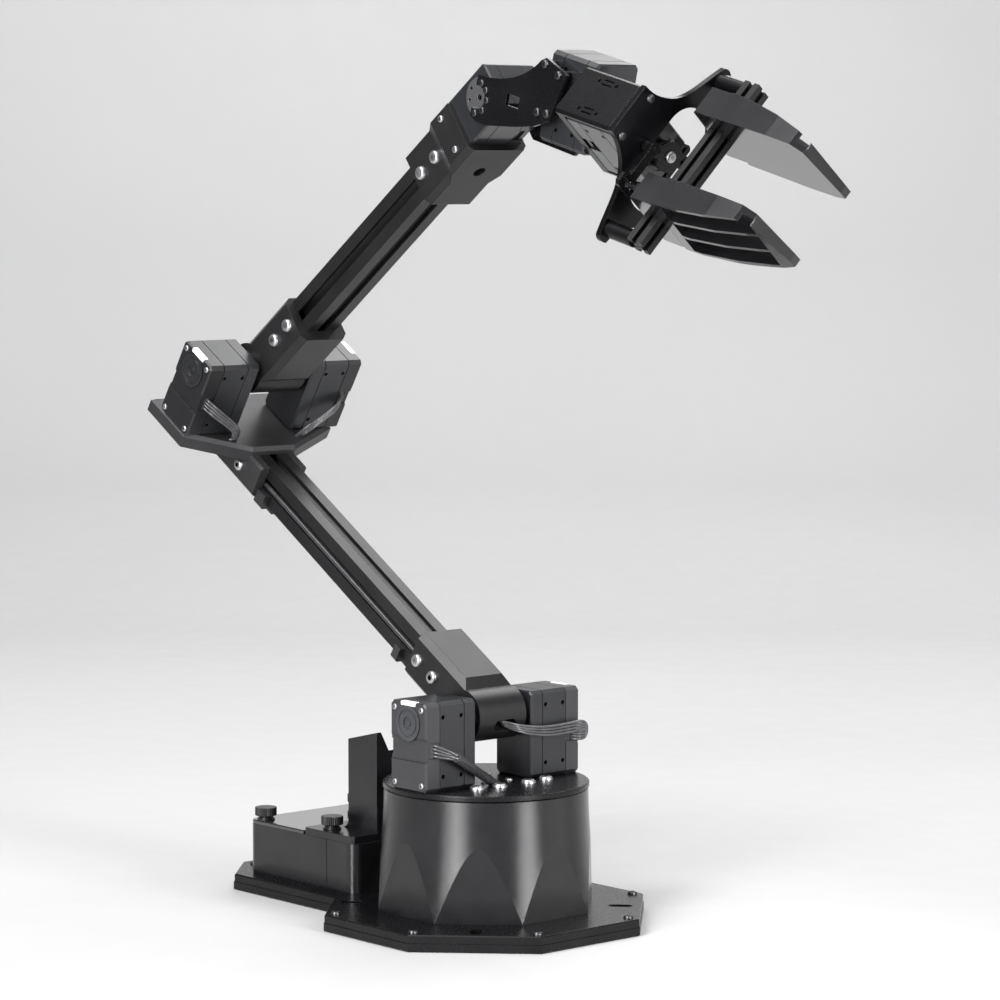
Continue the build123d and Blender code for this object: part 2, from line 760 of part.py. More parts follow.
def electronics_box():
    """Tray with screw bosses, a seam in each side, and openings for the wires and sockets."""
    height = BOX_TOP - PLATE_TOP
    box = Pos(0, 0, PLATE_TOP) * extrude(box_outline(), height)
    box -= Pos(0, 0, PLATE_TOP + BOX_WALL) * extrude(box_outline(-BOX_WALL), height)
    for x, y in both_sides([THUMB_BACK, THUMB_FRONT]):
        box += rod_z(BOX_BOSS_R, (PLATE_TOP, BOX_TOP), x, y)
        box -= bore_z(THUMB_SHANK_R, (BOX_TOP - BOX_BORE, BOX_TOP + CUT), x, y)
    seam_x = BOX_FRONT - BOX_SEAM_IN
    xs = (seam_x - BOX_SEAM_W / 2, seam_x + BOX_SEAM_W / 2)
    for side in (-1, 1):
        seam = block(xs, (-BOX_SEAM_W, BOX_SEAM_W), (0, BOX_TOP + CUT))
        box -= Pos(0, side * BOX_HALF, 0) * seam
    box -= wire_way((BOX_FRONT - BOX_WALL - CUT, BOX_FRONT + CUT))
    box -= power_bore(POWER_R, (-CUT, BOX_WALL + CUT))
    return box - data_block((-CUT, BOX_WALL + CUT), 0)


def box_lid():
    """Lid behind the post's flange, flush with the box."""
    lid = Pos(0, 0, BOX_TOP) * extrude(box_outline(), LID_T)
    behind = (BOX_BACK - CUT, FLANGE_BACK - LID_GAP)
    lid = lid & block(behind, (-BOX_HALF - CUT, BOX_HALF + CUT), (BOX_TOP - CUT, BOX_TOP + LID_T + CUT))
    lid = chamfer(lid.edges().group_by(Axis.Z)[-1], LID_BEVEL)
    for x, y in both_sides([THUMB_BACK]):
        lid -= bore_z(THUMB_SHANK_R, (BOX_TOP - CUT, BOX_TOP + LID_T + CUT), x, y)
    return lid


def power_inlet():
    """Barrel socket in the rear wall of the box."""
    shell = power_bore(POWER_R, (-POWER_OUT, POWER_LEN))
    shell -= power_bore(POWER_BORE_R, (-POWER_OUT - CUT, POWER_LEN - POWER_R))
    return shell + power_bore(POWER_PIN_R, (-POWER_OUT / 2, POWER_LEN - POWER_OUT))


def data_port():
    """Data socket in the rear wall of the box."""
    shell = data_block((-DATA_OUT, DATA_LEN), 0)
    shell -= data_block((-DATA_OUT - CUT, DATA_LEN - 2 * DATA_WALL), DATA_WALL)
    return shell + data_block((0, DATA_LEN - DATA_WALL), DATA_H / 2 - DATA_TONGUE)


def driver_board():
    """Circuit board on the box floor with its main parts."""
    low = PLATE_TOP + BOX_WALL
    front = BOX_FRONT - BOARD_IN
    board = block((front - BOARD_LEN, front), (-BOARD_W / 2, BOARD_W / 2), (low, low + BOARD_T))
    for back, y, long, wide, high in BOARD_PARTS:
        xs = (front - back - long, front - back)
        board += block(xs, (y - wide / 2, y + wide / 2), (low + BOARD_T / 2, low + BOARD_T + high))
    return board


def knob_outline():
    """Outline of a knurled knob: teeth round a circle."""
    points = []
    for n in range(2 * THUMB_TEETH):
        a = pi * n / THUMB_TEETH
        radius = THUMB_R - THUMB_TOOTH * (n % 2)
        points.append((radius * cos(a), radius * sin(a)))
    return outline(points)


def thumb_screw():
    """Knurled screw with a hollow collar on top; it sits on z = 0."""
    knob = extrude(knob_outline(), THUMB_H)
    knob += rod_z(THUMB_COLLAR_R, (THUMB_H - THUMB_TOOTH, THUMB_H + THUMB_COLLAR_H))
    knob -= rod_z(THUMB_HOLLOW_R, (THUMB_H / 2, THUMB_H + THUMB_COLLAR_H + CUT))
    shank = Pos(0, 0, -THUMB_SHANK_LEN) * extrude(RegularPolygon(THUMB_SHANK_R, PEG_SIDES), THUMB_SHANK_LEN)
    return knob + shank


def thumb_screws():
    """Two screws hold the lid and two hold the post's flange."""
    screw = thumb_screw()
    made = [Pos(x, y, BOX_TOP + LID_T) * screw for x, y in both_sides([THUMB_BACK])]
    made += [Pos(x, y, BOX_TOP + FLANGE_T) * screw for x, y in both_sides([THUMB_FRONT])]
    return group(made)


def rest_post():
    """Post with a sloping saddle that the folded arm lies in."""
    low = BOX_TOP
    top = low + FLANGE_T
    ys = (-POST_HALF, POST_HALF)
    shape = block((FLANGE_BACK, POST_FRONT), (-BOX_HALF, BOX_HALF), (low, top))
    shape = chamfer(shape.edges().filter_by(Axis.Z), FLANGE_BEVEL)
    side = [(POST_BACK, low), (POST_FRONT, low), (POST_FRONT, POST_TOP_FRONT), (POST_BACK, POST_TOP_BACK)]
    shape += prism_y(side, ys)
    toe = prism_y([(POST_BACK - POST_FILLET, top), (POST_BACK, top), (POST_BACK, top + POST_FILLET)], ys)
    past = (-POST_HALF - CUT, POST_HALF + CUT)
    hollow = rod_y(POST_FILLET, past, POST_BACK - POST_FILLET, top + POST_FILLET)
    shape += toe - hollow
    shape -= saddle()
    inside = (POST_BACK + POST_WALL, POST_FRONT - POST_WALL)
    room = POST_HALF - POST_WALL
    shape -= block(inside, (-room, room), (low - CUT, POST_TOP_BACK - SADDLE_DEEP - POST_WALL))
    for x, y in both_sides([THUMB_FRONT]):
        shape -= bore_z(THUMB_SHANK_R, (low - CUT, top + CUT), x, y)
    return shape


def saddle():
    """Notch along the post's top, wider at its mouth and sloping with it."""
    rise = (POST_TOP_FRONT - POST_TOP_BACK) / POST_THICK
    mouth = SADDLE_HALF + SADDLE_SPLAY
    section = [(-SADDLE_HALF, -SADDLE_DEEP), (SADDLE_HALF, -SADDLE_DEEP), (mouth, CUT), (-mouth, CUT)]
    notch = prism_x(section, (-POST_THICK, POST_THICK))
    middle = ((POST_BACK + POST_FRONT) / 2, 0, (POST_TOP_BACK + POST_TOP_FRONT) / 2)
    return Pos(*middle) * Rot(0, -degrees(atan(rise)), 0) * notch


# Turntable

DISC_SCREWS = both_sides([(DISC_SCREW_X, DISC_SCREW_Y), (-DISC_SCREW_X, DISC_SCREW_Y)])
DISC_SCREWS += both_sides([(FOOT_SCREW_X, FOOT_SCREW_Y)])
HUB_SCREWS = both_sides([(HUB_SCREW_XY, HUB_SCREW_XY), (-HUB_SCREW_XY, HUB_SCREW_XY)])


def turntable_disc():
    disc = rod_z(DISC_R, (DISC_LOW, DISC_HIGH))
    rims = disc.edges().group_by(Axis.Z)
    disc = chamfer(rims[0] + rims[-1], DISC_BEVEL)
    for x, y in DISC_SCREWS:
        disc -= bore_z(DISC_SCREW[2], (DISC_LOW - CUT, DISC_HIGH + CUT), x, y)
    for x, y in HUB_SCREWS:
        disc -= bore_z(SIDE_SCREW[2], (DISC_LOW - CUT, DISC_HIGH + CUT), x, y)
    return disc - rod_z(DISC_HOLE_R, (DISC_LOW - CUT, DISC_HIGH + CUT), DISC_HOLE_X, 0)


def disc_screws():
    """Large screws under the servos and small ones round the hub."""
    large = [((x, y, DISC_HIGH), (0, 0, 1)) for x, y in DISC_SCREWS]
    small = [((x, y, DISC_HIGH), (0, 0, 1)) for x, y in HUB_SCREWS]
    return group([screws_at(large, base, DISC_SCREW, DISC_T), screws_at(small, base, SIDE_SCREW, DISC_T)])


def shoulder_place(side):
    return servo_place(base, (0, side * SERVO_MID_Y, SHOULDER_Z), (0, 0, 1), (0, -side, 0))


# Joint brackets

BRACKET_SCREWS = [BRACKET_END - BRACKET_SCREW_END - n * BRACKET_SCREW_STEP for n in range(2)]


def bracket_side():
    """Side view of a joint bracket without its boss."""
    nose = BRACKET_BOSS - BRACKET_NOSE
    return [
        (-BRACKET_BACK, 0),
        (-BRACKET_BACK, BRACKET_END),
        (BRACKET_FACE, BRACKET_END),
        (BRACKET_FACE, BRACKET_SHELF),
        (nose, BRACKET_NECK),
        (nose, 0),
    ]


def link_bracket():
    """Joint bracket: boss on the axis, socket for the bar, bevelled corners, cable holes."""
    ys = (-BRACKET_HALF, BRACKET_HALF)
    through = (-BRACKET_HALF - CUT, BRACKET_HALF + CUT)
    body = prism_y(bracket_side(), ys)
    corners = body.edges().filter_by(Axis.Z).sort_by(SortBy.LENGTH)[-4:]
    body = chamfer(corners, BRACKET_BEVEL)
    body += rod_y(BRACKET_BOSS, ys)
    body -= block((-BAR / 2, BAR / 2), (-BAR / 2, BAR / 2), (BAR_START, BRACKET_END + CUT))
    body -= rod_y(BRACKET_BORE_R, through)
    slot = extrude(Rot(0, 0, 90) * SlotOverall(EXIT_LEN, EXIT_W), EXIT_DEEP + CUT)
    body -= Pos(EXIT_X, EXIT_Y, -BRACKET_BOSS - CUT) * slot
    for z in BRACKET_SCREWS:
        body -= bore_y(BRACKET_SCREW[2], through, BRACKET_SCREW_X, z)
    return body


def screws_on_sides(points, half, frame, size, shank_len):
    """Screws in both sides of a link; each point is an x and a z."""
    spots = [((x, side * half, z), (0, side, 0)) for x, z in points for side in (-1, 1)]
    return screws_at(spots, frame, size, shank_len)


def bracket_screws(frame):
    points = [(BRACKET_SCREW_X, z) for z in BRACKET_SCREWS]
    return screws_on_sides(points, BRACKET_HALF, frame, BRACKET_SCREW, BRACKET_HALF - BAR / 2)


def joint_horns(frame, inner=BRACKET_HALF, thick=HORN_T):
    """The two output discs that a link turns on."""
    disc = horn_disc(0, thick)
    return group([frame * Plane(origin=(0, s * inner, 0), z_dir=(0, s, 0)).location * disc for s in (-1, 1)])


# Upper arm

CLAMP_HALF = BAR / 2 + CLAMP_WALL
CLAMP_SCREWS = [(0, CLAMP_START + CLAMP_SCREW_UP + n * CLAMP_SCREW_STEP) for n in range(2)]


def elbow_plate():
    """Bevelled plate that carries the elbow servos, with a clamp round the bar's end."""
    ys = (-CLAMP_HALF, CLAMP_HALF)
    clamp = block((-CLAMP_BACK, BAR / 2), ys, (CLAMP_START, CLAMP_START + CLAMP_LEN))
    clamp = chamfer(clamp.edges().filter_by(Axis.Z), CLAMP_BEVEL)
    top = ELBOW_Z + ELBOW_PLATE_UP
    low = ELBOW_Z - ELBOW_PLATE_LOW
    right = [(ELBOW_PLATE_HALF, top), (ELBOW_PLATE_HALF, low), (ELBOW_PLATE_NOSE, low - ELBOW_PLATE_DIP)]
    wide = right + [(-y, z) for y, z in reversed(right)]
    plate = prism_x(wide, (ELBOW_PLATE_FACE - ELBOW_PLATE_T, ELBOW_PLATE_FACE))
    plate = chamfer(plate.edges().group_by(Axis.X)[-1], ELBOW_PLATE_BEVEL)
    whole = plate + clamp
    whole -= block((-BAR / 2 - CLAMP_BACK, BAR / 2), (-BAR / 2, BAR / 2), (CLAMP_START - CUT, UPPER_BAR_END))
    for x, z in CLAMP_SCREWS:
        whole -= bore_y(CLAMP_SCREW[2], (-CLAMP_HALF - CUT, CLAMP_HALF + CUT), x, z)
    return whole


def elbow_servo_place(side):
    return servo_place(upper, (ELBOW_X, side * SERVO_MID_Y, ELBOW_Z), (1, 0, 0), (0, -side, 0))


def cable_clip(z, length):
    """Clip that hooks into the rear slot and closes round the cable at the corner."""
    zs = (z, z + length)
    outer = -BAR / 2 - CLIP_T
    reach = -BAR / 2 - CLIP_SIDE
    foot = block((outer, -BAR / 2), (reach, CLIP_REACH), zs)
    side = block((outer, CLIP_LAP - BAR / 2), (reach, -BAR / 2), zs)
    hook = block((-BAR / 2, CLIP_HOOK - BAR / 2), (FIT_GAP - BAR_SLOT / 2, BAR_SLOT / 2 - FIT_GAP), zs)
    clip = foot + side + hook
    clip = chamfer(clip.edges().filter_by(Axis.Z).sort_by(Axis.X)[0:2], CLIP_BEVEL)
    return clip + rod_z(CLIP_EYE_R, zs, -BAR / 2 - CLIP_EYE_X, CLIP_EYE_Y)


def cable_clips():
    high = CLAMP_START - CLIP_HIGH_LEN
    return group([upper * cable_clip(CLIP_LOW, CLIP_LOW_LEN), upper * cable_clip(high, CLIP_HIGH_LEN)])


# Forearm

FORE_TURN = Rot(0, 90, 0)
FORE_CLAMP_HALF = BAR / 2 + FORE_CLAMP_WALL
CHEEK_HALF = SERVO_D / 2 + FORE_CHEEK_WALL
FORE_SCREWS = [(FORE_CLAMP_START + FORE_SCREW_IN + n * FORE_SCREW_STEP, FORE_SCREW_Z) for n in range(2)]
CHEEK_SCREWS = [(WRIST_X - CHEEK_SCREW_X, z) for z in (CHEEK_SCREW_HIGH, CHEEK_SCREW_LOW)]


def fore_bracket_frame():
    """The same bracket, laid along the forearm with its flat face below."""
    return fore * FORE_TURN


def wrist_bracket():
    """End of the forearm: clamps the bar and cradles the wrist servo."""
    flare = FORE_BAR_END + FORE_FLARE
    tip = WRIST_X - FORE_CHEEK_END
    right = [(FORE_CLAMP_START, FORE_CLAMP_HALF), (FORE_BAR_END, FORE_CLAMP_HALF), (flare, CHEEK_HALF)]
    right.append((tip, CHEEK_HALF))
    body = prism_z(right + [(x, -y) for x, y in reversed(right)], (-FORE_LOW, FORE_HIGH))
    body = chamfer(body.edges().filter_by(Axis.X).group_by(Axis.Z)[0], FORE_BEVEL)
    body -= block((FORE_CLAMP_START - CUT, FORE_BAR_END), (-BAR / 2, BAR / 2), (-BAR / 2, BAR / 2))
    start = WRIST_X - SERVO_LONG
    pocket = (start, WRIST_X - SERVO_POCKET_END)
    body -= block(pocket, (-SERVO_D / 2, SERVO_D / 2), (-SERVO_W / 2, SERVO_W / 2))
    body -= rod_z(FORE_WIRE_R, (-FORE_LOW - CUT, 0), (FORE_BAR_END + start) / 2, 0)
    for x, z in FORE_SCREWS:
        body -= bore_y(BRACKET_SCREW[2], (-CHEEK_HALF - CUT, CHEEK_HALF + CUT), x, z)
    for x, z in CHEEK_SCREWS:
        for side in (-1, 1):
            ys = sorted((side * (CHEEK_HALF - CHEEK_SCREW_LEN), side * (CHEEK_HALF + CUT)))
            body -= bore_y(SIDE_SCREW[2], ys, x, z)
    return body


def forearm_screws():
    """Screws of the elbow bracket, the wrist clamp and the cheeks beside the wrist servo."""
    clamp = screws_on_sides(FORE_SCREWS, FORE_CLAMP_HALF, fore, BRACKET_SCREW, FORE_CLAMP_WALL)
    cheek = screws_on_sides(CHEEK_SCREWS, CHEEK_HALF, fore, SIDE_SCREW, CHEEK_SCREW_LEN)
    return group([bracket_screws(fore_bracket_frame()), clamp, cheek])


def wrist_servo_place():
    return servo_place(fore, (WRIST_X, 0, 0), (1, 0, 0), (0, -1, 0))


# Wrist

HORN_SCREW_TURNS = [74.0, 38.0, 2.0, -42.0, -86.0]
HORN_SCREWS = [(HORN_SCREW_R * cos(radians(a)), HORN_SCREW_R * sin(radians(a))) for a in HORN_SCREW_TURNS]
SPACERS = [(ROLL_BACK + x, z) for x, z in ((3.5, 28.2), (14.5, 25.0), (3.5, 3.7), (10.5, 4.5))]
PLATE_SHOULDER = [(-1.5, 11.5), (12.5, 12.8), (31.0, 19.0), (43.8, 29.4)]
PLATE_NOSE = [(43.8, 29.4), (ROLL_BACK + 3.5, 31.4), (ROLL_BACK + 17.0, 27.5), (ROLL_BACK + 20.0, 26.0)]
NEAR_UNDER = [(ROLL_BACK + 12.3, 1.0), (ROLL_BACK + 1.2, -4.4), (31.0, -8.0)]
NEAR_UNDER += [(10.8, -12.2), (2.0, -12.2), (-3.0, -10.0)]
FAR_UNDER = [(ROLL_BACK + 12.3, -2.0), (37.0, -21.5), (4.0, -21.0), (-6.0, -12.0)]


def plate_openings(ys):
    """Horn opening, window and screw holes of a side plate."""
    ys = (ys[0] - CUT, ys[1] + CUT)
    cut = rod_y(HORN_OPENING_R, ys) + block((-2 * HORN_OPENING_R, 0), ys, (-HORN_GATE, HORN_GATE))
    cut += block(PLATE_WINDOW_X, ys, PLATE_WINDOW_Z)
    for x, z in HORN_SCREWS:
        cut += bore_y(HORN_SCREW[2], ys, x, z)
    for x, z in SPACERS:
        cut += bore_y(SPACER_SCREW[2], ys, x, z)
    return cut


def wrist_plate(under, side):
    """Side plate that hooks round the horn and widens to the roll servo."""
    ys = sorted((side * SIDE_PLATE_IN, side * SIDE_PLATE_OUT))
    edge = Spline(*PLATE_SHOULDER) + Polyline(*PLATE_NOSE, *under, PLATE_SHOULDER[0])
    return wrist * (flat_y(make_face(edge), ys) - plate_openings(ys))


def wrist_screws():
    """Small screws in the horns and larger ones in the spacers."""
    horn = screws_on_sides(HORN_SCREWS, SIDE_PLATE_OUT, wrist, HORN_SCREW, SIDE_PLATE_T - FIT_GAP)
    spacer = screws_on_sides(SPACERS, SIDE_PLATE_OUT, wrist, SPACER_SCREW, SIDE_PLATE_T)
    return group([horn, spacer])


def wrist_standoffs():
    """Spacers between the side plates and the roll servo."""
    made = []
    for side in (-1, 1):
        ys = sorted((side * SERVO_W / 2, side * SIDE_PLATE_IN))
        made += [wrist * rod_y(SPACER_R, ys, x, z) for x, z in SPACERS]
    return group(made)


def roll_place():
    return servo_place(wrist, (ROLL_SERVO_MID, 0, 0), (0, 0, -1), (1, 0, 0))


# Gripper


def roll_horn():
    turn = Plane(origin=(0, 0, 0), x_dir=(0, 1, 0), z_dir=(1, 0, 0)).location
    return grip * turn * horn_disc(ROLL_HORN_END - ROLL_HORN_T, ROLL_HORN_END)


def frame_marks():
    """Two sets of slots and holes sunk in the frame's upper face."""
    top = SERVO_LONG + GRIP_RIM
    mid = (GRIP_FRAME_BACK + WING_BACK) / 2
    cuts = []
    for y in (-MARK_Y, MARK_Y):
        for step in (-MARK_STEP / 2, MARK_STEP / 2):
            ys = (y + step - MARK_W / 2, y + step + MARK_W / 2)
            cuts.append(block((mid - MARK_LEN / 2, mid + MARK_LEN / 2), ys, (top - MARK_DEEP, top + CUT)))
        for end in (-MARK_END, MARK_END):
            cuts.append(bore_z(MARK_W, (top - MARK_DEEP, top + CUT), mid + end, y))
    return cuts


def grip_frame():
    """Back plate and rim that hold the gripper servo on the roll horn."""
    ys = (-SERVO_W / 2, SERVO_W / 2)
    zs = (-SERVO_SHORT - GRIP_RIM, SERVO_LONG + GRIP_RIM)
    outer = block((GRIP_FRAME_BACK, WING_BACK), ys, zs)
    outer = chamfer(outer.edges().filter_by(Axis.X), GRIP_BEVEL)
    back = GRIP_FRAME_BACK + GRIP_FRAME_T
    outer -= block((back, WING_BACK + CUT), (ys[0] - CUT, ys[1] + CUT), (-SERVO_SHORT, SERVO_LONG))
    for cut in frame_marks():
        outer -= cut
    return grip * (outer - rod_x(HORN_R, (GRIP_FRAME_BACK - CUT, ROLL_HORN_END)))


def grip_place():
    return servo_place(grip, (GRIP_SERVO_MID, 0, 0), (0, 0, -1), (1, 0, 0))


WING_CROWN = [(14.25, 38.0), (17.0, 26.0), (26.0, 14.5), (37.0, 9.0), (53.2, 3.0)]
WING_TIP = [(53.2, 3.0), (54.3, 0.0), (53.0, -3.4)]
WING_UNDER = [(53.0, -3.4), (37.0, -12.0), (27.0, -22.0), (14.0, -25.5)]


def wing_outline():
    """One half of the front plate: a wing between two curves, with a round tip."""
    top = (0, WING_CROWN[0][1])
    low = (0, WING_UNDER[-1][1])
    edge = Line(top, WING_CROWN[0]) + Spline(*WING_CROWN) + ThreePointArc(*WING_TIP) + Spline(*WING_UNDER)
    return make_face(edge + Line(WING_UNDER[-1], low) + Line(low, top))


def wing_plate():
    """Front plate whose wings carry the rail; a long window clears the crank."""
    xs = (WING_BACK, WING_BACK + WING_T)
    through = (xs[0] - CUT, xs[1] + CUT)
    half = wing_outline()
    plate = flat_x(half + mirror(half, about=Plane.YZ), xs)
    window = Pos(0, WING_WINDOW_Z) * SlotCenterToCenter(2 * WING_WINDOW_HALF, 2 * WING_WINDOW_R)
    plate -= flat_x(window, through)
    for side in (-1, 1):
        plate -= bore_x(SPACER_SCREW[2], through, side * WING_SCREW_Y, WING_SCREW_Z)
        plate -= bore_x(STUD_R, through, side * STANDOFF_Y, 0)
    return grip * plate


def wing_screws():
    spots = [((WING_BACK + WING_T, side * WING_SCREW_Y, WING_SCREW_Z), (1, 0, 0)) for side in (-1, 1)]
    return screws_at(spots, grip, SPACER_SCREW, WING_T)


def rail_standoffs():
    """Posts that hold the rail in front of the wings."""
    made = []
    for side in (-1, 1):
        post = rod_x(STANDOFF_R, (WING_BACK + WING_T, RAIL_BACK), side * STANDOFF_Y, 0)
        in_wing = (WING_BACK, WING_BACK + WING_T + FIT_GAP)
        stud = bore_x(STUD_R * cos(pi / PEG_SIDES), in_wing, side * STANDOFF_Y, 0)
        made.append(grip * (post + stud))
    return group(made)


def rail_section():
    """Small slotted square section."""
    slot = Pos(0, (RAIL - RAIL_SLOT_DEEP) / 2) * Rectangle(RAIL_SLOT, RAIL_SLOT_DEEP)
    wide = Pos(0, RAIL / 2 - RAIL_LIP - RAIL_CAVITY_H / 2) * Rectangle(RAIL_CAVITY, RAIL_CAVITY_H)
    section = Rectangle(RAIL, RAIL)
    for n in range(4):
        section -= Rot(0, 0, 90 * n) * (slot + wide)
    return section - Circle(RAIL_BORE_R)


def finger_rail():
    bar = Pos(0, 0, -RAIL_LEN / 2) * extrude(rail_section(), RAIL_LEN)
    return grip * Pos(RAIL_AXIS, 0, 0) * Rot(90, 0, 0) * bar


# Crank and links that drive the fingers


def crank_pin():
    a = radians(CRANK_REST)
    return CRANK_ARM * cos(a), CRANK_ARM * sin(a)


def carriage_pin():
    """Pin of the first carriage, seen along the gripper axis."""
    turn = radians(CRANK_REST + 90)
    return LINK_LEN + SLIDE_PER_RAD * turn, CARRIAGE_PIN_Z


def crank():
    """Two-armed crank on the gripper servo, with its hub and pins."""
    y, z = crank_pin()
    xs = (CRANK_BACK, CRANK_BACK + CRANK_T)
    body = rod_x(CRANK_HUB_R, xs)
    body += Rot(CRANK_REST, 0, 0) * block(xs, (-CRANK_ARM, CRANK_ARM), (-CRANK_END_R, CRANK_END_R))
    body += rod_x(CRANK_NECK_R, (GRIP_SERVO_MID + SERVO_D / 2 + RUN_GAP, CRANK_BACK + FIT_GAP))
    for s in (-1, 1):
        body += rod_x(CRANK_END_R, xs, s * y, s * z)
        body += rod_x(PIN_R, (CRANK_BACK, LINK_BACK + LINK_T + PIN_OVER), s * y, s * z)
        body -= Rot(CRANK_REST, 0, 0) * bore_x(CRANK_HOLE_R, (xs[0] - CUT, xs[1] + CUT), s * CRANK_HOLE_AT, 0)
    return grip * (body - bore_x(CRANK_SCREW[2], (CRANK_BACK, CRANK_BACK + CRANK_T + CUT)))


def crank_screw():
    return screws_at([((CRANK_BACK + CRANK_T, 0, 0), (1, 0, 0))], grip, CRANK_SCREW, CRANK_T)


def finger_link(side):
    """Link from a crank pin to a slotted eye round the carriage pin."""
    y, z = crank_pin()
    xs = (LINK_BACK, LINK_BACK + LINK_T)
    through = (xs[0] - CUT, xs[1] + CUT)
    end = y + LINK_LEN
    hole_wide = PIN_R + EYE_GAP
    hole_tall = PIN_R + EYE_HALF
    wide = hole_wide + LINK_WALL
    tall = hole_tall + LINK_WALL
    body = block(xs, (y, end), (z - LINK_HALF, z + LINK_HALF)) + rod_x(LINK_END_R, xs, y, z)
    eye = block(xs, (end - wide, end + wide), (z - tall, z + tall))
    body += chamfer(eye.edges().filter_by(Axis.X), LINK_BEVEL)
    body -= rod_x(PIN_R + FIT_GAP, through, y, z)
    body -= block(through, (end - hole_wide, end + hole_wide), (z - hole_tall, z + hole_tall))
    return grip * turned(body, side)


def turned(shape, side):
    """The shape, or the same shape turned half round the gripper's axis."""
    if side > 0:
        return shape
    return Rot(180, 0, 0) * shape


def finger_carriage(side):
    """Block that slides on the rail and carries a finger."""
    y, z = carriage_pin()
    low = RAIL_BACK - CARRIAGE_UNDER
    ys = (y - CARRIAGE_HALF, y + CARRIAGE_HALF)
    body = block((low, FINGER_ROOT), ys, (-CARRIAGE_RZ, CARRIAGE_RZ))
    body = chamfer(body.edges().filter_by(Axis.Y), CARRIAGE_BEVEL)
    hole = RAIL / 2 + SLIDE_GAP
    body -= block((RAIL_AXIS - hole, RAIL_AXIS + hole), (ys[0] - CUT, ys[1] + CUT), (-hole, hole))
    body += rod_x(CARRIAGE_BOSS_R, (low - CARRIAGE_BOSS, low + FIT_GAP), y, z)
    body += rod_x(PIN_R, (LINK_BACK - PIN_OVER / 2, low), y, z)
    return grip * turned(body, side)


# Shares of the finger's length, with half widths, and with shares of its thickness at the root
FINGER_SIDE = [
    (0.0, -19.2),
    (0.33, -19.8),
    (0.63, -20.5),
    (0.9, -20.0),
    (1.0, -18.5),
    (0.99, -14.0),
    (0.88, 15.0),
    (0.78, 19.5),
    (0.54, 20.0),
    (0.0, 19.2),
]
FINGER_TAPER = [(1.0, 0.283), (0.9, 0.39), (0.79, 0.51), (0.51, 0.774), (0.17, 0.975), (0.0, 1.0)]


def finger(side):
    """Long finger: flat inside, tapered outside, with three channels between ribs."""
    end = FINGER_ROOT + FINGER_LEN
    outer = FINGER_FACE + FINGER_ROOT_T
    flat = [(FINGER_ROOT + share * FINGER_LEN, z) for share, z in FINGER_SIDE]
    taper = [(FINGER_ROOT + a * FINGER_LEN, FINGER_FACE + b * FINGER_ROOT_T) for a, b in FINGER_TAPER]
    taper = [(FINGER_ROOT, FINGER_FACE), (end, FINGER_FACE)] + taper
    shape = prism_y(flat, (FINGER_FACE, outer)) & prism_z(taper, (-FINGER_LEN, FINGER_LEN))
    floor_line = [
        (FINGER_ROOT + CHANNEL_START, FINGER_FACE + CHANNEL_FLOOR_ROOT),
        (end - CHANNEL_BEND, FINGER_FACE + CHANNEL_FLOOR_BEND),
        (end - CHANNEL_END, FINGER_FACE + CHANNEL_FLOOR_TIP),
        (end - CHANNEL_END, outer + CUT),
        (FINGER_ROOT + CHANNEL_START, outer + CUT),
    ]
    for z in (-RIB_PITCH, 0.0, RIB_PITCH):
        shape -= prism_z(floor_line, (z - CHANNEL_HALF, z + CHANNEL_HALF))
    if side < 0:
        shape = mirror(shape, about=Plane.XZ)
    return grip * shape


# Cables

PLUG_FLOOR = SERVO_W / 2 - PLUG_DEEP
PLUG_MID_Y = SERVO_MID_Y + SERVO_D / 2 - PLUG_BACK - PLUG_THICK / 2


def shoulder_cable():
    """Wires of the near shoulder servo, gathered in a sleeve that ends on the turntable."""
    plug_z = SHOULDER_Z - PLUG_X
    top = Vector(20.2, -37.5, 93.4)
    foot = Vector(15.2, -6.3, 73.6)
    sleeve = cord([top, foot], SLEEVE_R) - block((0, 60), (-60, 60), (0, DISC_HIGH))
    routes = []
    for n, step in enumerate(FAN):
        start = (PLUG_FLOOR, -PLUG_MID_Y, plug_z + step * WIRE_PITCH)
        knee = (PLUG_FLOOR + 5.0, -PLUG_MID_Y, plug_z + step * WIRE_PITCH)
        side_step = Vector(0.8 if n % 2 else -0.8, 0, step * 0.8)
        routes.append([start, knee, tuple(top + side_step)])
    return group([sleeve] + strands(routes, WIRE_R))


def shoulder_bridge_cable():
    """Wires that leave the boss of the shoulder bracket and loop back into the far servo."""
    out = Vector(0.9285, 0, -0.3714)
    along = Vector(-0.3714, 0, -0.9285)
    centre = Vector(0, 0, SHOULDER_Z)
    routes = []
    for step in FAN:
        root = centre + out * (BRACKET_BOSS - 4.0) + along * (step * 1.0) + Vector(0, 2.0 + step, 0)
        lip = centre + out * (BRACKET_BOSS + 3.2) + along * (step * 1.3) + Vector(0, 5.0 + step, 0)
        low = SHOULDER_Z - PLUG_X - 1.1 + step * WIRE_PITCH * 0.75
        routes.append(
            [
                tuple(root),
                tuple(lip),
                (18.0, 24.0, 100.4 - step * 1.5),
                (18.6, 42.0, 100.9 - step * 1.6),
                (18.2, 55.6, 101.8 - step * 1.5),
                (18.0, 55.6, low),
                (18.0, PLUG_MID_Y, low),
                (PLUG_FLOOR, PLUG_MID_Y, low),
            ]
        )
    return group(strands(routes, WIRE_R))


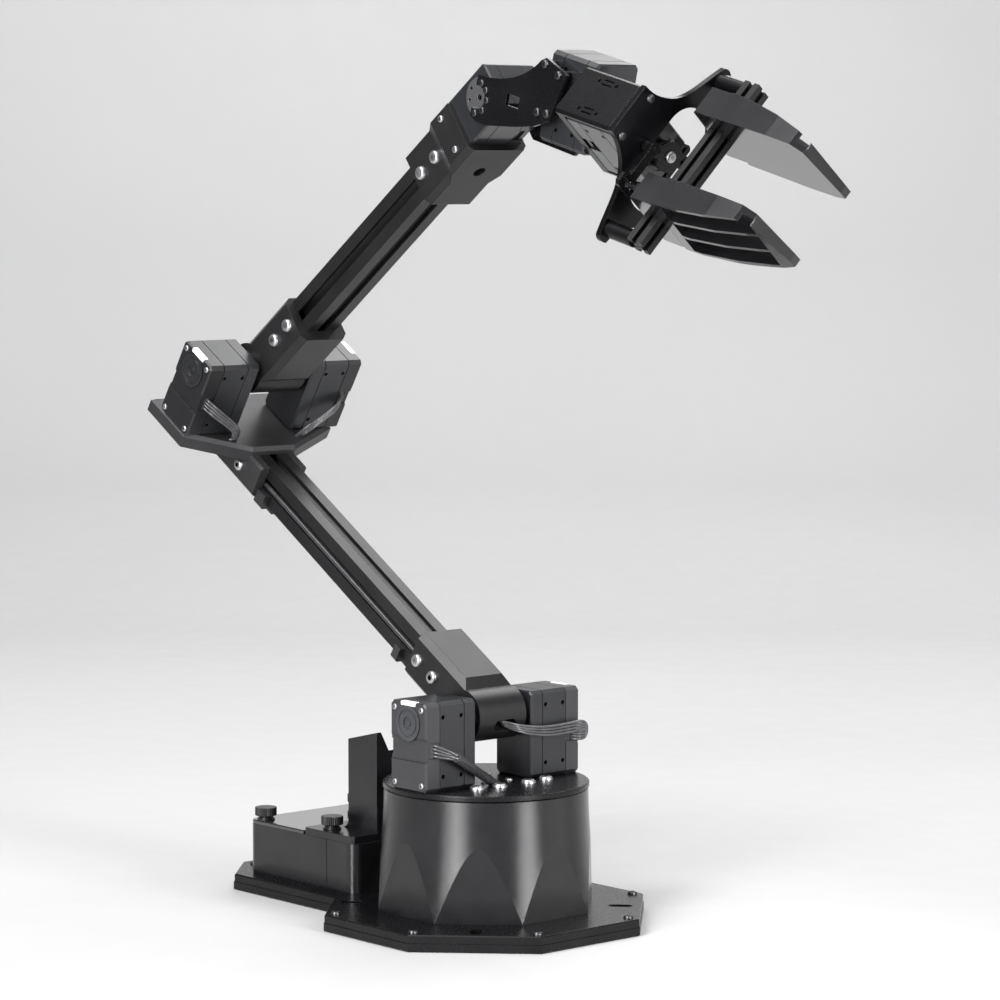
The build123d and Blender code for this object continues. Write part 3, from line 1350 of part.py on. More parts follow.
def elbow_cable(side):
    """Wires of an elbow servo, from its plug back into the plate."""
    plug_x = ELBOW_X - PLUG_X
    plug_z = ELBOW_Z - PLUG_FLOOR
    routes = []
    for step in FAN:
        routes.append(
            [
                (plug_x + step * WIRE_PITCH, side * PLUG_MID_Y, plug_z),
                (plug_x + step * WIRE_PITCH, side * PLUG_MID_Y, plug_z - 5.5),
                (25.5 + step * 1.5, side * 29.0, 227.8),
                (19.0 + step * 1.5, side * (22.5 - step * 0.2), 228.8),
                (ELBOW_PLATE_FACE - 1.0, side * (23.5 - step * 1.5), 231.5),
            ]
        )
    behind = block((0, ELBOW_PLATE_FACE), (-60, 60), (200, 260))
    return [upper * (wire - behind) for wire in strands(routes, WIRE_R)]


def elbow_cables():
    return group(elbow_cable(-1) + elbow_cable(1))


def arm_cable():
    """Cable along the near slot of the upper bar, from bracket to clamp."""
    y = ARM_CABLE_Y
    return upper * cord([(ARM_CABLE_X, y, BRACKET_END), (ARM_CABLE_X, y, CLAMP_START)], ARM_CABLE_R)


# All the nodes

SERVOS = {
    "waist_servo": waist_place(),
    "shoulder_servo_near": shoulder_place(-1),
    "shoulder_servo_far": shoulder_place(1),
    "elbow_servo_near": elbow_servo_place(-1),
    "elbow_servo_far": elbow_servo_place(1),
    "wrist_servo": wrist_servo_place(),
    "roll_servo": roll_place(),
    "gripper_servo": grip_place(),
}


def servo_nodes():
    """Cases of all the servos, and the caps and screws of those that show them."""
    case = servo_case()
    cap = servo_cap()
    nodes = {name + "_case": place * case for name, place in SERVOS.items()}
    for joint in ("shoulder", "elbow"):
        pair = [SERVOS[f"{joint}_servo_{side}"] for side in ("near", "far")]
        nodes[joint + "_servo_caps"] = group([place * cap for place in pair])
        nodes[joint + "_servo_screws"] = group([place * s for place in pair for s in servo_screws()])
    return nodes


def base_nodes():
    return {
        "base_plate_lower": base_plate_lower(),
        "base_plate_upper": base_plate_upper(),
        "plate_screws": plate_screws(),
        "base_drum": base_drum(),
        "electronics_box": electronics_box(),
        "box_lid": box_lid(),
        "box_sockets": group([power_inlet(), data_port()]),
        "driver_board": driver_board(),
        "thumb_screws": thumb_screws(),
        "rest_post": rest_post(),
        "waist_horn": waist_horn(),
        "turntable_disc": turntable_disc(),
        "disc_screws": disc_screws(),
        "shoulder_cable": shoulder_cable(),
        "shoulder_bridge_cable": shoulder_bridge_cable(),
    }


def arm_nodes():
    clamp = screws_on_sides(CLAMP_SCREWS, CLAMP_HALF, upper, CLAMP_SCREW, CLAMP_WALL)
    return {
        "shoulder_bracket": upper * link_bracket(),
        "shoulder_horns": joint_horns(upper),
        "upper_arm_screws": group([bracket_screws(upper), clamp]),
        "upper_arm_bar": upper * slotted_bar(BAR_START, UPPER_BAR_END),
        "elbow_plate": upper * elbow_plate(),
        "cable_clips": cable_clips(),
        "elbow_cables": elbow_cables(),
        "arm_cable": arm_cable(),
        "elbow_bracket": fore_bracket_frame() * link_bracket(),
        "elbow_horns": joint_horns(fore),
        "forearm_bar": fore_bracket_frame() * slotted_bar(BAR_START, FORE_BAR_END),
        "wrist_bracket": fore * wrist_bracket(),
        "forearm_screws": forearm_screws(),
        "wrist_horns": joint_horns(wrist, SERVO_D / 2 + RUN_GAP, WRIST_HORN_T),
        "wrist_plate_near": wrist_plate(NEAR_UNDER, -1),
        "wrist_plate_far": wrist_plate(FAR_UNDER, 1),
        "wrist_screws": wrist_screws(),
        "wrist_standoffs": wrist_standoffs(),
    }


def gripper_nodes():
    nodes = {
        "roll_horn": roll_horn(),
        "gripper_frame": grip_frame(),
        "wing_plate": wing_plate(),
        "wing_screws": wing_screws(),
        "rail_standoffs": rail_standoffs(),
        "finger_rail": finger_rail(),
        "crank": crank(),
        "crank_screw": crank_screw(),
    }
    for name, side in (("upper", 1), ("lower", -1)):
        nodes[f"finger_link_{name}"] = finger_link(side)
        nodes[f"finger_carriage_{name}"] = finger_carriage(side)
        nodes[f"finger_{name}"] = finger(side)
    return nodes


if __name__ == "__main__":
    os.makedirs("parts", exist_ok=True)
    for node_name, shape in (servo_nodes() | base_nodes() | arm_nodes() | gripper_nodes()).items():
        export_step(shape, f"parts/{node_name}.step")
        print(node_name, round(shape.volume, 1))
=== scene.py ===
import json
import math

import bmesh
import bpy
import numpy as np
from mathutils import Matrix, Vector


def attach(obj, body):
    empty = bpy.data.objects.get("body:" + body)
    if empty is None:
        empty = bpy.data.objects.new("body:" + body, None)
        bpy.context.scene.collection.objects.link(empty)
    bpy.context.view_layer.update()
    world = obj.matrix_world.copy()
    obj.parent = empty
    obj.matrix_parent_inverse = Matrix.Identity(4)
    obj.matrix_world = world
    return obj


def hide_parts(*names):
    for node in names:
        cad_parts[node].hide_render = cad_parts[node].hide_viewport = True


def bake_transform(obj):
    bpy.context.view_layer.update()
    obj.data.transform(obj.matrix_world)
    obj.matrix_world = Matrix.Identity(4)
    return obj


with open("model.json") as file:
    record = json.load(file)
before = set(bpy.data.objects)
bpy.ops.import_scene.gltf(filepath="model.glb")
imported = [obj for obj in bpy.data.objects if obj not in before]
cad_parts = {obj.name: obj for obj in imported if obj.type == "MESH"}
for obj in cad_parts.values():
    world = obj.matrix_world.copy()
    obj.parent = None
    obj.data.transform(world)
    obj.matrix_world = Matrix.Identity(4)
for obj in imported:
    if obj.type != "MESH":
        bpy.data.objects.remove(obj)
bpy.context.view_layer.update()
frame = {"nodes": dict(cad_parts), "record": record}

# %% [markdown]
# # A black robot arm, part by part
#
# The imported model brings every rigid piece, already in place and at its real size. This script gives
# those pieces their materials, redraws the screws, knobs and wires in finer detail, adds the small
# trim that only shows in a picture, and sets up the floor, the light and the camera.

MM = 0.001
nodes = frame["nodes"]
print("CAD pieces:", len(nodes))

# %% [markdown]
# ## Where the links and servos stand
#
# Trim is easiest to draw in the axes of the piece that carries it. Each link of the arm has a frame
# on its joint, turned by the angle that the photograph shows, and each servo has a frame on its horn.
# The frames are worked out from the same lengths and angles as the solid model, so nothing has to be
# placed by eye.

# %% Frames of the links
SHOULDER_Z = 110.65
ELBOW_X = 49.75
ELBOW_Z = 250.0
WRIST_X = 250.0
UPPER_TILT = -57.9
FORE_TILT = -36.03
WRIST_TILT = 14.2
GRIP_ROLL = 52.3
PLAIN = Matrix.Identity(4)


def turn(axis, degrees):
    """A rotation as a 4 by 4 matrix."""
    return Matrix.Rotation(math.radians(degrees), 4, axis)


def shift(x, y, z):
    """A move given in millimetres."""
    return Matrix.Translation((x * MM, y * MM, z * MM))


upper = shift(0, 0, SHOULDER_Z) @ turn("Y", UPPER_TILT)
elbow_at = upper @ Vector((ELBOW_X * MM, 0, ELBOW_Z * MM))
fore = Matrix.Translation(elbow_at) @ turn("Y", FORE_TILT)
wrist_at = fore @ Vector((WRIST_X * MM, 0, 0))
wrist = Matrix.Translation(wrist_at) @ turn("Y", WRIST_TILT)
grip = wrist @ turn("X", GRIP_ROLL)
print("elbow at", [round(v / MM, 1) for v in elbow_at], "wrist at", [round(v / MM, 1) for v in wrist_at])

# %% Frames of the servos
SERVO_LONG = 35.25
SERVO_SHORT = 11.25
SERVO_D = 34.0
SERVO_Y = 36.3
ROLL_X = 61.0
GRIPPER_X = 101.0
UP, DOWN = (0, 0, 1), (0, 0, -1)
NEAR, FAR = (0, -1, 0), (0, 1, 0)
AHEAD = (1, 0, 0)


def servo_frame(link, at, short_way, horn_way):
    """Axes of a servo: x to its short end, z out of its horn, origin on the horn axis at mid depth."""
    x_way = Vector(short_way)
    z_way = Vector(horn_way)
    axes = Matrix((x_way, z_way.cross(x_way), z_way)).transposed().to_4x4()
    return link @ shift(*at) @ axes


servos = {
    "shoulder_near": (servo_frame(PLAIN, (0, -SERVO_Y, SHOULDER_Z), UP, FAR), "turntable"),
    "shoulder_far": (servo_frame(PLAIN, (0, SERVO_Y, SHOULDER_Z), UP, NEAR), "turntable"),
    "elbow_near": (servo_frame(upper, (ELBOW_X, -SERVO_Y, ELBOW_Z), AHEAD, FAR), "upper_arm"),
    "elbow_far": (servo_frame(upper, (ELBOW_X, SERVO_Y, ELBOW_Z), AHEAD, NEAR), "upper_arm"),
    "wrist": (servo_frame(fore, (WRIST_X, 0, 0), AHEAD, NEAR), "forearm"),
    "roll": (servo_frame(wrist, (ROLL_X, 0, 0), DOWN, AHEAD), "wrist"),
    "gripper": (servo_frame(grip, (GRIPPER_X, 0, 0), DOWN, AHEAD), "gripper"),
}
print("servos:", len(servos))

# %% [markdown]
# ## Materials
#
# Every material is a small node graph. It reads Object coordinates, in metres, so a noise scale of
# 1000 makes grains of about 1 mm on every piece. Each graph varies its colour and its gloss a little
# and ends in a bump, because real black plastic and black anodised metal are never one flat tone. A
# class that adds one node at a time keeps the graphs short enough to read.

# %% A small graph helper


class Graph:
    """One material's node graph, built a node at a time."""

    def __init__(self, name):
        self.material = bpy.data.materials.new(name)
        self.material.use_nodes = True
        self.tree = self.material.node_tree
        self.shader = self.tree.nodes["Principled BSDF"]
        coords = self.tree.nodes.new("ShaderNodeTexCoord")
        self.coords = coords.outputs["Object"]

    def feed(self, socket, value):
        """Store a value in a socket, or link another node's output to it."""
        if isinstance(value, bpy.types.NodeSocket):
            self.tree.links.new(value, socket)
        else:
            socket.default_value = value

    def node(self, kind, **inputs):
        """A node whose sockets are fed by name."""
        made = self.tree.nodes.new(kind)
        for key, value in inputs.items():
            self.feed(made.inputs[key.replace("_", " ")], value)
        return made

    def math(self, operation, *values):
        """One step of arithmetic."""
        made = self.tree.nodes.new("ShaderNodeMath")
        made.operation = operation
        for socket, value in zip(made.inputs, values):
            self.feed(socket, value)
        return made.outputs[0]

    def axis(self, name):
        """One of the Object coordinates."""
        return self.node("ShaderNodeSeparateXYZ", Vector=self.coords).outputs[name]

    def noise(self, scale, detail=3.0, stretch=(1, 1, 1)):
        """Noise with a scale per metre, stretched along an axis if asked."""
        mapped = self.node("ShaderNodeMapping", Vector=self.coords, Scale=stretch)
        made = self.node("ShaderNodeTexNoise", Vector=mapped.outputs[0], Scale=scale, Detail=detail)
        return made.outputs["Fac"]

    def spread(self, value, low=0.0, high=1.0, start=0.3, end=0.7):
        """Map a stretch of a value, for noise its usual 0.3 to 0.7, to a range."""
        made = self.node("ShaderNodeMapRange", Value=value, From_Min=start, From_Max=end)
        self.feed(made.inputs["To Min"], low)
        self.feed(made.inputs["To Max"], high)
        return made.outputs[0]

    def tint(self, value, dark, light):
        """Mix two colours, each three numbers or a socket, by a value."""
        made = self.tree.nodes.new("ShaderNodeMix")
        made.data_type = "RGBA"
        self.feed(made.inputs["Factor"], value)
        ends = [socket for socket in made.inputs if socket.type == "RGBA"]
        for socket, colour in zip(ends, (dark, light)):
            self.feed(socket, colour if isinstance(colour, bpy.types.NodeSocket) else (*colour, 1))
        return next(socket for socket in made.outputs if socket.type == "RGBA")

    def bump(self, height, strength, depth, onto=None):
        """Bump from a height, of a depth in millimetres, over another normal if given."""
        made = self.node("ShaderNodeBump", Height=height, Strength=strength, Distance=depth * MM)
        if onto is not None:
            self.feed(made.inputs["Normal"], onto)
        return made.outputs[0]

    def rounded(self, radius):
        """Softly rounded normals along the edges, as a broken edge has, for a radius in millimetres."""
        return self.node("ShaderNodeBevel", Radius=radius * MM).outputs[0]

    def finish(self, **sockets):
        """Feed the shader's sockets and give the material."""
        for key, value in sockets.items():
            self.feed(self.shader.inputs[key.replace("_", " ")], value)
        return self.material


# %% [markdown]
# ## Black surfaces
#
# Nearly all of the arm is black, so its blacks have to differ as they do in the photograph. The
# plates and brackets are anodised metal, with a very fine even grain. The bars are drawn through a
# die, which leaves marks along them. The servo cases are moulded, with a coarser grain and a polish
# that shines at a flat angle; their rear caps carry painted light on the shoulder servos and painted
# shade on the elbow servos. The drum is printed, in level layers. Each of these surfaces has its
# own function, and each piece a tone of its own.

# %% Anodised and drawn metal


def anodised(name, dark, light, rough, metal=0.55):
    """Black anodised metal: slow clouds of tone, patches of gloss and a very fine grain."""
    g = Graph(name)
    clouds = g.noise(38.0)
    patches = g.noise(900.0)
    grain = g.noise(2600.0, detail=2.0)
    colour = g.tint(g.spread(clouds), dark, light)
    gloss = g.spread(patches, rough - 0.01, rough + 0.01)
    normal = g.bump(grain, strength=0.03, depth=0.06, onto=g.rounded(0.35))
    return g.finish(Base_Color=colour, Metallic=metal, Roughness=gloss, Normal=normal)


def drawn(name, dark, light):
    """Drawn black profile: fine marks from the die, also in its gloss."""
    g = Graph(name)
    marks = g.noise(5200.0, detail=2.0)
    clouds = g.noise(30.0)
    gloss = g.spread(marks, 0.30, 0.44)
    normal = g.bump(marks, strength=0.08, depth=0.05, onto=g.rounded(0.25))
    colour = g.tint(g.spread(clouds), dark, light)
    return g.finish(Base_Color=colour, Metallic=0.5, Roughness=gloss, Normal=normal)


plate_black = anodised("plate_anodised", (0.005, 0.005, 0.006), (0.010, 0.010, 0.011), rough=0.27)
bracket_black = anodised("bracket_anodised", (0.015, 0.015, 0.016), (0.023, 0.023, 0.024), rough=0.38)
tray_black = anodised("tray_anodised", (0.034, 0.034, 0.036), (0.044, 0.044, 0.046), rough=0.44)
wing_black = anodised("wing_anodised", (0.002, 0.002, 0.003), (0.004, 0.004, 0.005), rough=0.24)
bar_black = drawn("profile_drawn", (0.010, 0.010, 0.011), (0.018, 0.018, 0.019))
print("black metals:", 5)

# %% Moulded plastic
CAP_EDGE_Y = 43.3
CAP_STEP = 0.05
CASE_DARK, CASE_LIGHT = (0.008, 0.0085, 0.0105), (0.013, 0.0135, 0.016)


def spark_grain(g, scale=1500.0):
    """Normal of a spark-eroded mould's grain."""
    return g.bump(g.noise(scale, detail=4.0), strength=0.10, depth=0.08, onto=g.rounded(0.3))


def moulded(name, dark, light, rough, polish=0.0):
    """Moulded plastic with a spark-eroded grain, under a polish that shines at a flat angle."""
    g = Graph(name)
    clouds = g.noise(45.0)
    patches = g.noise(1200.0)
    gloss = g.spread(patches, rough - 0.02, rough + 0.03)
    return g.finish(
        Base_Color=g.tint(g.spread(clouds), dark, light), Roughness=gloss, Normal=spark_grain(g),
        Coat_Weight=polish, Coat_Roughness=0.08,
    )


def banded_painted_cap(name, cap, rough=0.34):
    """Servo plastic whose rear cap, the layer furthest from the middle plane, carries a painted tone: lighter
    for painted light, darker for painted shade.
    """
    g = Graph(name)
    out = g.math("ABSOLUTE", g.axis("Y"))
    step = g.spread(out, start=CAP_EDGE_Y * MM, end=(CAP_EDGE_Y + CAP_STEP) * MM)
    body_tone = g.tint(g.spread(g.noise(45.0)), CASE_DARK, CASE_LIGHT)
    # The cap's tone is painted light on a lit copy and painted shade on a shaded copy.
    painted_cap_tone = g.tint(g.spread(g.noise(60.0)), cap, tuple(c * 1.3 for c in cap))
    gloss = g.spread(g.noise(1200.0), rough - 0.02, rough + 0.03)
    return g.finish(Base_Color=g.tint(step, body_tone, painted_cap_tone), Roughness=gloss, Normal=spark_grain(g))


servo_black = moulded("servo_plastic_grain", (0.007, 0.0075, 0.009), (0.012, 0.0125, 0.015), 0.36, polish=0.6)
# Lit copy: the shoulder servos' rear cap is lighter, painted light.
servo_painted_light_cap = banded_painted_cap("servo_plastic_painted_light_cap", cap=(0.022, 0.022, 0.024))
# Shaded copy: the elbow servos' rear cap is darker, painted shade.
servo_painted_shade_cap = banded_painted_cap("servo_plastic_painted_shade_cap", cap=(0.007, 0.007, 0.008))
# Lighter grey for the shoulder servos' caps: painted light on a part the elbow servos show in plain servo
# black.
cap_painted_light = moulded("cap_plastic_painted_light", (0.030, 0.032, 0.036), (0.045, 0.047, 0.052), 0.34)
plug_grey = moulded("plug_plastic", (0.030, 0.030, 0.032), (0.050, 0.050, 0.054), 0.35)
finger_black = moulded("finger_plastic_grain", (0.006, 0.006, 0.007), (0.011, 0.011, 0.012), 0.20, polish=1.0)
clip_black = moulded("clip_plastic", (0.014, 0.014, 0.015), (0.022, 0.022, 0.024), 0.45)
knob_black = moulded("knob_plastic", (0.006, 0.006, 0.007), (0.011, 0.011, 0.012), 0.32)
print("moulded plastics:", 8)

# %% Printed plastic
LAYER = 0.25


def printed(name, dark, light, rough=0.18):
    """Printed plastic: level layers with a gentle ripple, glossy along the strands."""
    g = Graph(name)
    wobble = g.spread(g.noise(120.0), -0.04 * MM, 0.04 * MM)
    height = g.math("ADD", g.axis("Z"), wobble)
    layers = g.math("SINE", g.math("MULTIPLY", height, 2 * math.pi / (LAYER * MM)))
    ripple = g.bump(g.noise(260.0), strength=0.02, depth=0.2, onto=g.rounded(0.4))
    normal = g.bump(layers, strength=0.16, depth=0.05, onto=ripple)
    gloss = g.spread(g.noise(300.0), rough - 0.02, rough + 0.04)
    return g.finish(Base_Color=g.tint(g.spread(g.noise(60.0)), dark, light), Roughness=gloss, Normal=normal)


print_black = printed("printed_layers", (0.005, 0.005, 0.006), (0.010, 0.010, 0.011))
print("layers per millimetre:", 1 / LAYER)

# %% [markdown]
# ## Bright pieces
#
# The bright pieces are few: nickel screws, the servo horns, glossy cable sheaths, the servos' clear
# windows and the lid. They carry the picture's sparkle, so their gloss gets its own fine scratches,
# dust or waves.

# %% Bright and clear surfaces


def polished(name, tone, rough):
    """Plated steel with hairline scratches."""
    g = Graph(name)
    hairs = g.noise(1800.0, detail=5.0, stretch=(1, 1, 6))
    gloss = g.spread(hairs, rough - 0.05, rough + 0.10)
    normal = g.bump(hairs, strength=0.12, depth=0.03, onto=g.rounded(0.15))
    colour = g.tint(g.noise(300.0), tuple(c * 0.8 for c in tone), tone)
    return g.finish(Base_Color=colour, Metallic=1.0, Roughness=gloss, Normal=normal)


def sheath(name, dark, light, rough):
    """Glossy cable sheath, slightly wavy from its strands."""
    g = Graph(name)
    waves = g.noise(500.0, detail=2.0)
    colour = g.tint(g.spread(g.noise(200.0)), dark, light)
    gloss = g.spread(waves, rough, rough + 0.15)
    return g.finish(Base_Color=colour, Roughness=gloss, Normal=g.bump(waves, strength=0.2, depth=0.1))


def glossy(name, tone, rough):
    """Glossy sheet under a clear coat, with faint dust."""
    g = Graph(name)
    dust = g.noise(2200.0, detail=6.0)
    colour = g.tint(g.spread(dust), tone, tuple(c * 1.6 for c in tone))
    gloss = g.spread(dust, rough, rough + 0.06)
    normal = g.bump(g.noise(25.0), strength=0.05, depth=0.4, onto=g.rounded(0.3))
    return g.finish(Base_Color=colour, Roughness=gloss, Normal=normal, Coat_Weight=1.0, Coat_Roughness=0.04)


def clear_white(name):
    """White plastic window, lightly frosted."""
    g = Graph(name)
    colour = g.tint(g.noise(500.0), (0.85, 0.86, 0.88), (0.95, 0.95, 0.96))
    return g.finish(Base_Color=colour, Roughness=g.spread(g.noise(900.0), 0.15, 0.25))


def coated_board(name):
    """Circuit board with a faint pattern of tracks."""
    g = Graph(name)
    tracks = g.node("ShaderNodeTexBrick", Vector=g.coords, Scale=260.0)
    tracks.inputs["Color1"].default_value = (0.010, 0.075, 0.030, 1)
    tracks.inputs["Color2"].default_value = (0.014, 0.095, 0.040, 1)
    tracks.inputs["Mortar"].default_value = (0.030, 0.130, 0.060, 1)
    normal = g.bump(tracks.outputs["Fac"], strength=0.3, depth=0.04)
    gloss = g.spread(g.noise(400.0), 0.3, 0.45)
    return g.finish(Base_Color=tracks.outputs["Color"], Roughness=gloss, Normal=normal)


steel = polished("screw_steel", (0.60, 0.60, 0.62), rough=0.34)
horn_steel = polished("horn_steel", (0.55, 0.55, 0.57), rough=0.26)
dark_steel = polished("dark_steel", (0.10, 0.10, 0.105), rough=0.34)
wire_grey = sheath("wire_sheath", (0.045, 0.045, 0.048), (0.085, 0.085, 0.09), rough=0.10)
wire_dark = sheath("wire_sheath_dark", (0.020, 0.020, 0.021), (0.035, 0.035, 0.037), rough=0.30)
shrink_grey = sheath("heat_shrink", (0.030, 0.030, 0.032), (0.050, 0.050, 0.053), rough=0.30)
lid_gloss = glossy("lid_sheet", (0.010, 0.010, 0.011), rough=0.06)
window_white = clear_white("window_clear")
board = coated_board("board_coating")
print("bright and clear surfaces:", 9)

# %% A woven sleeve
WEAVE_TURN = 0.6
WEAVE_SLANT = 0.9


def braid(name):
    """Woven black sleeve: two sets of fine bands that cross over, the higher one on top, with a painted
    highlight on the raised strands and painted shade in the gaps.
    """
    g = Graph(name)
    sets = []
    for way in (1, -1):
        slant = (WEAVE_TURN, way * WEAVE_SLANT, 0.0)
        mapped = g.node("ShaderNodeMapping", Vector=g.coords, Rotation=slant)
        bands = g.node("ShaderNodeTexWave", Vector=mapped.outputs[0], Scale=520.0, Distortion=0.6)
        sets.append(bands.outputs["Fac"])
    weave = g.math("MAXIMUM", *sets)
    # Colour follows the weave's height: painted shade in the gaps between strands and a painted highlight on
    # their crests.
    colour = g.tint(weave, (0.004, 0.004, 0.005), (0.030, 0.030, 0.032))
    gloss = g.spread(weave, 0.25, 0.5)
    return g.finish(Base_Color=colour, Roughness=gloss, Normal=g.bump(weave, strength=0.6, depth=0.2))


braid_black = braid("sleeve_braid")
print("woven:", braid_black.name)

# %% [markdown]
# ## Materials on the CAD pieces
#
# The record gives every piece a material slot. Most pieces take the surface of their slot, and the
# pieces that look different in the photograph, such as the lighter brackets, are named one by one.
# The shoulder servos' cases and caps take lit copies, with painted light, and the elbow servos' cases
# a shaded copy, with painted shade.

# %% Dress the pieces
FINISH = {
    "servo_plastic": servo_black,
    "bright_steel": steel,
    "cable_sheath": wire_grey,
    "printed_plastic": print_black,
    "black_profile": bar_black,
    "black_anodised": plate_black,
    "gloss_lid": lid_gloss,
    "circuit_board": board,
    "socket_black": knob_black,
    "finger_plastic": finger_black,
    "black_knobs": knob_black,
}
SPECIAL = {
    "shoulder_bracket": bracket_black,
    "elbow_bracket": bracket_black,
    "wrist_bracket": bracket_black,
    "elbow_plate": tray_black,
    # The shoulder servo cases take the lit copy, with painted light on the cap, and the elbow servo cases the
    # shaded copy, with painted shade on the cap.
    "shoulder_servo_near_case": servo_painted_light_cap,
    "shoulder_servo_far_case": servo_painted_light_cap,
    "elbow_servo_near_case": servo_painted_shade_cap,
    "elbow_servo_far_case": servo_painted_shade_cap,
    # The shoulder servos' caps are painted light in a lighter grey; the elbow servos' caps keep the plain
    # servo black.
    "shoulder_servo_caps": cap_painted_light,
    "elbow_servo_caps": servo_black,
    "wing_plate": wing_black,
    "cable_clips": clip_black,
    "upper_arm_screws": steel,
    "wrist_screws": dark_steel,
    "wing_screws": dark_steel,
    "plate_screws": dark_steel,
    "shoulder_horns": dark_steel,
    "elbow_horns": dark_steel,
    "waist_horn": dark_steel,
    "roll_horn": horn_steel,
    "wrist_horns": horn_steel,
    "crank_screw": steel,
}
slot_of = {s["node"]: s["material_slot"] for s in frame["record"]["subparts"]}
for name, obj in nodes.items():
    obj.data.materials.clear()
    obj.data.materials.append(SPECIAL.get(name, FINISH[slot_of[name]]))
print("dressed:", len(nodes))

# %% [markdown]
# ## Mesh helpers
#
# The pieces below are drawn with bmesh operators in the axes of what carries them. The move to where
# that stands is baked into the mesh, so every object stays at the origin, unturned and unscaled.

# %% Pieces, blocks and rods
SMOOTH_UNDER = 38


def piece(name, bm, body, material, smooth=False):
    """Turn a bmesh into an object that rides on a body."""
    mesh = bpy.data.meshes.new(name)
    bm.to_mesh(mesh)
    bm.free()
    obj = bpy.data.objects.new(name, mesh)
    bpy.context.scene.collection.objects.link(obj)
    mesh.materials.append(material)
    if smooth:
        mesh.shade_smooth()
        mesh.set_sharp_from_angle(angle=math.radians(SMOOTH_UNDER))
    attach(obj, body)
    return obj


def soften(bm, edges, offset, segments=2):
    """Bevel some edges, each taken once, by an offset in millimetres."""
    bmesh.ops.bevel(
        bm, geom=list(dict.fromkeys(edges)), offset=offset * MM, segments=segments,
        affect="EDGES", profile=0.5, material=-1,
    )


def add_block(bm, low, high, place, bevel=0.3):
    """A bevelled block between two corners, in millimetres, set in a frame."""
    size = [(b - a) * MM for a, b in zip(low, high)]
    mid = [(a + b) / 2 for a, b in zip(low, high)]
    matrix = place @ shift(*mid) @ Matrix.Diagonal((*size, 1))
    made = bmesh.ops.create_cube(bm, size=1.0, matrix=matrix)
    soften(bm, [e for v in made["verts"] for e in v.link_edges], bevel)


def add_cylinder(bm, radius, low, high, place, sides=32):
    """The vertices of a new cylinder along z, with its sizes in millimetres."""
    return bmesh.ops.create_cone(
        bm, cap_ends=True, segments=sides, radius1=radius * MM, radius2=radius * MM,
        depth=(high - low) * MM, matrix=place @ shift(0, 0, (low + high) / 2),
    )["verts"]


def cap_edges(verts):
    """The edges round the two flat ends of a cylinder."""
    caps = [f for v in verts for f in v.link_faces if len(f.verts) > 4]
    return [e for f in caps for e in f.edges]


print("helpers ready")

# %% [markdown]
# ## Screw heads
#
# The CAD screws are plain twelve-sided pegs, so that the solid model stays light. Here each peg is
# found again in its node's mesh: its axis is the one way in which its spread differs from the other
# two, and its head is the wide end. A domed head with a hexagon socket then takes its place. One full
# spin makes the dome and the shank, and a bridge closes the gap between the round rim and the socket.

# %% Find the pegs of a screw node


def loose_parts(obj):
    """The loose parts of a node's mesh, each as an array of points."""
    bm = bmesh.new()
    bm.from_mesh(obj.data)
    bmesh.ops.remove_doubles(bm, verts=bm.verts, dist=0.001 * MM)
    seen = set()
    parts = []
    for first in bm.verts:
        if first in seen:
            continue
        seen.add(first)
        reach, part = [first], []
        while reach:
            vert = reach.pop()
            part.append(tuple(vert.co))
            for other in [edge.other_vert(vert) for edge in vert.link_edges]:
                if other not in seen:
                    seen.add(other)
                    reach.append(other)
        parts.append(np.array(part))
    bm.free()
    return parts


def peg_axes(points):
    """A peg's frame, with z out of its head, and its head radius, head height, shank radius and depth."""
    centre = points.mean(axis=0)
    spread, ways = np.linalg.eigh(np.cov((points - centre).T))
    odd = 0 if spread[1] - spread[0] > spread[2] - spread[1] else 2
    axis = ways[:, odd]
    along = (points - centre) @ axis
    radius = np.linalg.norm(points - centre - np.outer(along, axis), axis=1)
    wide = radius > 0.95 * radius.max()
    if along[wide].mean() < 0:
        axis, along = -axis, -along
    foot = along[wide].min()
    shank_r = radius[along < foot - 0.05 * MM].max()
    z_way = Vector(axis)
    x_way = z_way.orthogonal().normalized()
    turned = Matrix((x_way, z_way.cross(x_way), z_way)).transposed().to_4x4()
    place = Matrix.Translation(Vector(centre) + z_way * foot) @ turned
    return place, radius.max(), along.max() - foot, shank_r, foot - along.min()


pegs = {node: loose_parts(nodes[node]) for node in sorted(nodes) if node.endswith(("_screws", "_screw"))}
print("pegs:", {node: len(parts) for node, parts in pegs.items()})

# %% One domed screw with a hexagon socket
DOME = ((0.64, 1.0), (0.74, 0.96), (0.86, 0.80), (0.95, 0.55), (1.0, 0.25), (1.0, 0.0))
HEAD_STEPS = 24
SOCKET_SIDES = 6
SOCKET_R = 0.42
SOCKET_FLOOR = 0.25


def add_socket(bm, place, head_r, head_h):
    """A hexagon cup whose rim has as many points as the dome's inner ring."""
    low = place @ Matrix.Translation((0, 0, head_h * SOCKET_FLOOR))
    cup = bmesh.ops.create_circle(
        bm, cap_ends=True, segments=SOCKET_SIDES, radius=head_r * SOCKET_R, matrix=low,
    )
    floor = cup["verts"][0].link_faces[0]
    raised = bmesh.ops.extrude_face_region(bm, geom=[floor])["geom"]
    top_face = next(g for g in raised if isinstance(g, bmesh.types.BMFace))
    lift = place.to_3x3() @ Vector((0, 0, head_h * (1 - SOCKET_FLOOR)))
    bmesh.ops.translate(bm, verts=top_face.verts, vec=lift)
    ring = list(top_face.edges)
    bmesh.ops.delete(bm, geom=[top_face], context="FACES_ONLY")
    bmesh.ops.subdivide_edges(bm, edges=ring, cuts=HEAD_STEPS // SOCKET_SIDES - 1)


